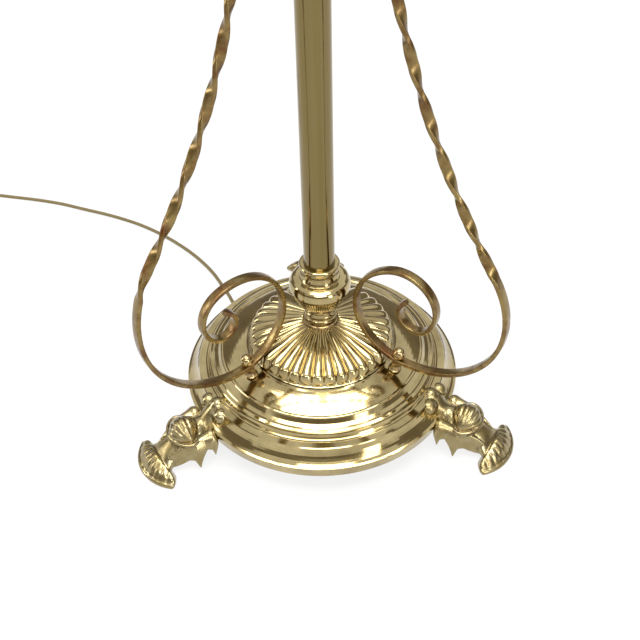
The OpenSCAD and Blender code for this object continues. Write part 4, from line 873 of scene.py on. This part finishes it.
class LAMP_OT_finishes(bpy.types.Operator):
    """Finishes of the spun, turned, drawn, pressed and moulded parts."""
    bl_idname = "lamp.finishes"
    bl_label = "Finishes"

    def execute(self, context):
        dress(spun_brass(), "base_shell", "knob_foot", "knob_cup", "knob_bulb", "knob_neck")
        dress(turned_brass(), "ball_nuts", "stay_collar", "stay_screws", "height_collar",
              "thumb_screw", "tube_plug", "holder_cup", "lampholder_body", "holder_barrel",
              "shade_carrier", "shade_wire")
        dress(drawn_brass(), "outer_tube", "inner_tube")
        dress(tarnished_brass(), "cap_washer", "stay_posts")
        dress(socket_brass(), "tube_socket", "clamp_shoe", "bulb_cap", "contact_plungers",
              "plug_pins")
        dress(painted_iron(), "base_weight", "bottom_plate")
        dress(plated_steel(), "hub_spacer", "tie_tube", "tie_nut", "foot_screws", "post_studs",
              "post_nuts", "holder_nipple", "cord_clamp", "clamp_screws")
        dress(moulded("phenolic_bush", "#4A2F1C", "#38220F", 0.4, 0.8), "top_bush", "guide_bush")
        dress(moulded("ivory_urea_plastic", "#E4D9B8", "#D6C9A2", 0.25, 2, Coat_Weight=0.2),
              "switch_bar", "holder_core", "shade_nut")
        dress(moulded("gold_pvc_boot", "#7E6532", "#6B5428", 0.45, 1), "cord_boot")
        dress(moulded("black_nylon_tie", "#121212", "#1C1C1C", 0.5, 0.6), "coil_tie")
        dress(moulded("brown_phenolic_plug", "#3E2415", "#2E190D", 0.28, 2, Coat_Weight=0.2),
              "plug_body")
        dress(shade_linen(), "shade")
        dress(trim_braid(), "shade_trims")
        dress(lamp_glass(), "bulb_glass")
        dress(moulded("lamp_mount_and_filament", "#C9A85A", "#8F8A80", 0.35, 0.5, Metallic=0.6),
              "bulb_filament")
        return {"FINISHED"}


class LAMP_OT_stage(bpy.types.Operator):
    """Pale floor, soft boxes and a plain white world."""
    bl_idname = "lamp.stage"
    bl_label = "Stage"

    def execute(self, context):
        deselect()
        bpy.ops.mesh.primitive_grid_add(x_subdivisions=8, y_subdivisions=8, size=14,
                                        location=(0, 0, -0.0002))
        floor = context.object
        floor.name = "floor"
        made, tree, shader = new_finish("matt_white_paper", srgb("#E8E6E2"), 0.95)
        # The paper takes the lamp's shadow near it and is lost in the white further out
        away = node(tree, "ShaderNodeVectorMath", {"operation": "LENGTH"},
                    {0: node(tree, "ShaderNodeNewGeometry").outputs["Position"]})
        fade = node(tree, "ShaderNodeMapRange", None,
                    {"Value": away.outputs["Value"], "From Min": 0.8, "From Max": 3.0,
                     "To Min": 0.8, "To Max": 1.0})
        share = node(tree, "ShaderNodeMath", {"operation": "MULTIPLY"},
                     {0: seen_straight(tree), 1: fade.outputs[0]})
        glow = node(tree, "ShaderNodeEmission", None, {"Color": (1, 1, 1, 1), "Strength": 1.0})
        mixed = node(tree, "ShaderNodeMixShader", None,
                     {0: share.outputs[0], 1: shader.outputs[0], 2: glow.outputs[0]})
        tree.links.new(mixed.outputs[0], tree.nodes["Material Output"].inputs[0])
        floor.data.materials.append(made)

        world = bpy.data.worlds.new("studio")
        context.scene.world = world
        world.use_nodes = True
        tree = world.node_tree
        tree.nodes.clear()
        dim = node(tree, "ShaderNodeBackground", None, {"Color": (1, 1, 1, 1), "Strength": 0.5})
        white = node(tree, "ShaderNodeBackground", None, {"Color": (1, 1, 1, 1), "Strength": 1.0})
        mixed = node(tree, "ShaderNodeMixShader", None,
                     {0: seen_straight(tree), 1: dim.outputs[0], 2: white.outputs[0]})
        node(tree, "ShaderNodeOutputWorld", None, {0: mixed.outputs[0]})

        # Dark cloths stand round the set, so that bright metal has something dark to show;
        # those in front of it hang as a narrow band
        # The felt glows faintly by its own emission: painted light in place of lamp light on the
        # cloths
        glowing_felt, _, _ = new_finish("grey_felt", srgb("#5C564C"), 0.95,
                                Emission_Color=(0.2, 0.18, 0.15, 1), Emission_Strength=0.6)
        for name, low, high, front in CLOTHS:
            deselect()
            bpy.ops.mesh.primitive_cylinder_add(
                vertices=64, radius=CLOTH_RADIUS, depth=high - low, end_fill_type="NOTHING",
                location=(0, 0, (high + low) / 2))
            cloth = context.object
            cloth.name = name
            bpy.ops.object.mode_set(mode="EDIT")
            bpy.ops.mesh.select_mode(type="FACE")
            bpy.ops.mesh.select_all(action="DESELECT")
            bpy.ops.object.mode_set(mode="OBJECT")
            for face in cloth.data.polygons:
                face.select = (face.center.y < CLOTH_FRONT) != front
            bpy.ops.object.mode_set(mode="EDIT")
            bpy.ops.mesh.delete(type="FACE")
            bpy.ops.object.mode_set(mode="OBJECT")
            bpy.ops.object.transform_apply(location=True)
            cloth.data.materials.append(glowing_felt)
            for ray in ("camera", "diffuse", "transmission", "shadow", "volume_scatter"):
                setattr(cloth, f"visible_{ray}", False)

        for name, place, aim, size, watts in LIGHTS:
            lamp = bpy.data.lights.new(name, "AREA")
            lamp.shape = "RECTANGLE"
            lamp.size, lamp.size_y = size
            lamp.energy = watts
            box = bpy.data.objects.new(name, lamp)
            box.location = place
            box.rotation_euler = (Vector(place) - Vector(aim)).to_track_quat("Z", "Y").to_euler()
            context.scene.collection.objects.link(box)
        # The shade would keep the top box out of the polished base's reflections
        for name in ("shade", "shade_trims"):
            NODES[name].visible_glossy = False
        context.scene.view_settings.view_transform = "Standard"
        return {"FINISHED"}


class LAMP_PT_panel(bpy.types.Panel):
    """Lists the lamp's sizes, finishes and steps."""
    bl_idname = "LAMP_PT_panel"
    bl_label = "Floor Lamp"
    bl_space_type = "VIEW_3D"
    bl_region_type = "UI"
    bl_category = "Floor Lamp"

    def draw(self, context):
        for group in (context.scene.lamp_sizes, context.scene.lamp_finishes):
            box = self.layout.box()
            for name in group.bl_rna.properties.keys():
                if name not in {"rna_type", "name"}:
                    box.prop(group, name)
        for step in STEPS:
            self.layout.operator(step.bl_idname)


STEPS = (LAMP_OT_camera, LAMP_OT_flex, LAMP_OT_finishes, LAMP_OT_cap, LAMP_OT_feet,
         LAMP_OT_stays, LAMP_OT_stage)
CLASSES = (LampSizes, LampFinishes, *STEPS, LAMP_PT_panel)


def register():
    """Adds the classes and the scene's lamp properties."""
    for cls in CLASSES:
        bpy.utils.register_class(cls)
    bpy.types.Scene.lamp_sizes = bpy.props.PointerProperty(type=LampSizes)
    bpy.types.Scene.lamp_finishes = bpy.props.PointerProperty(type=LampFinishes)


def unregister():
    """Removes them again."""
    del bpy.types.Scene.lamp_finishes
    del bpy.types.Scene.lamp_sizes
    for cls in reversed(CLASSES):
        bpy.utils.unregister_class(cls)


def main():
    """Builds the lamp's looks step by step."""
    register()
    bpy.ops.lamp.camera()
    bpy.ops.lamp.flex()
    bpy.ops.lamp.finishes()
    bpy.ops.lamp.cap()
    bpy.ops.lamp.feet()
    bpy.ops.lamp.stays()
    bpy.ops.lamp.stage()


if __name__ == "__main__":
    main()
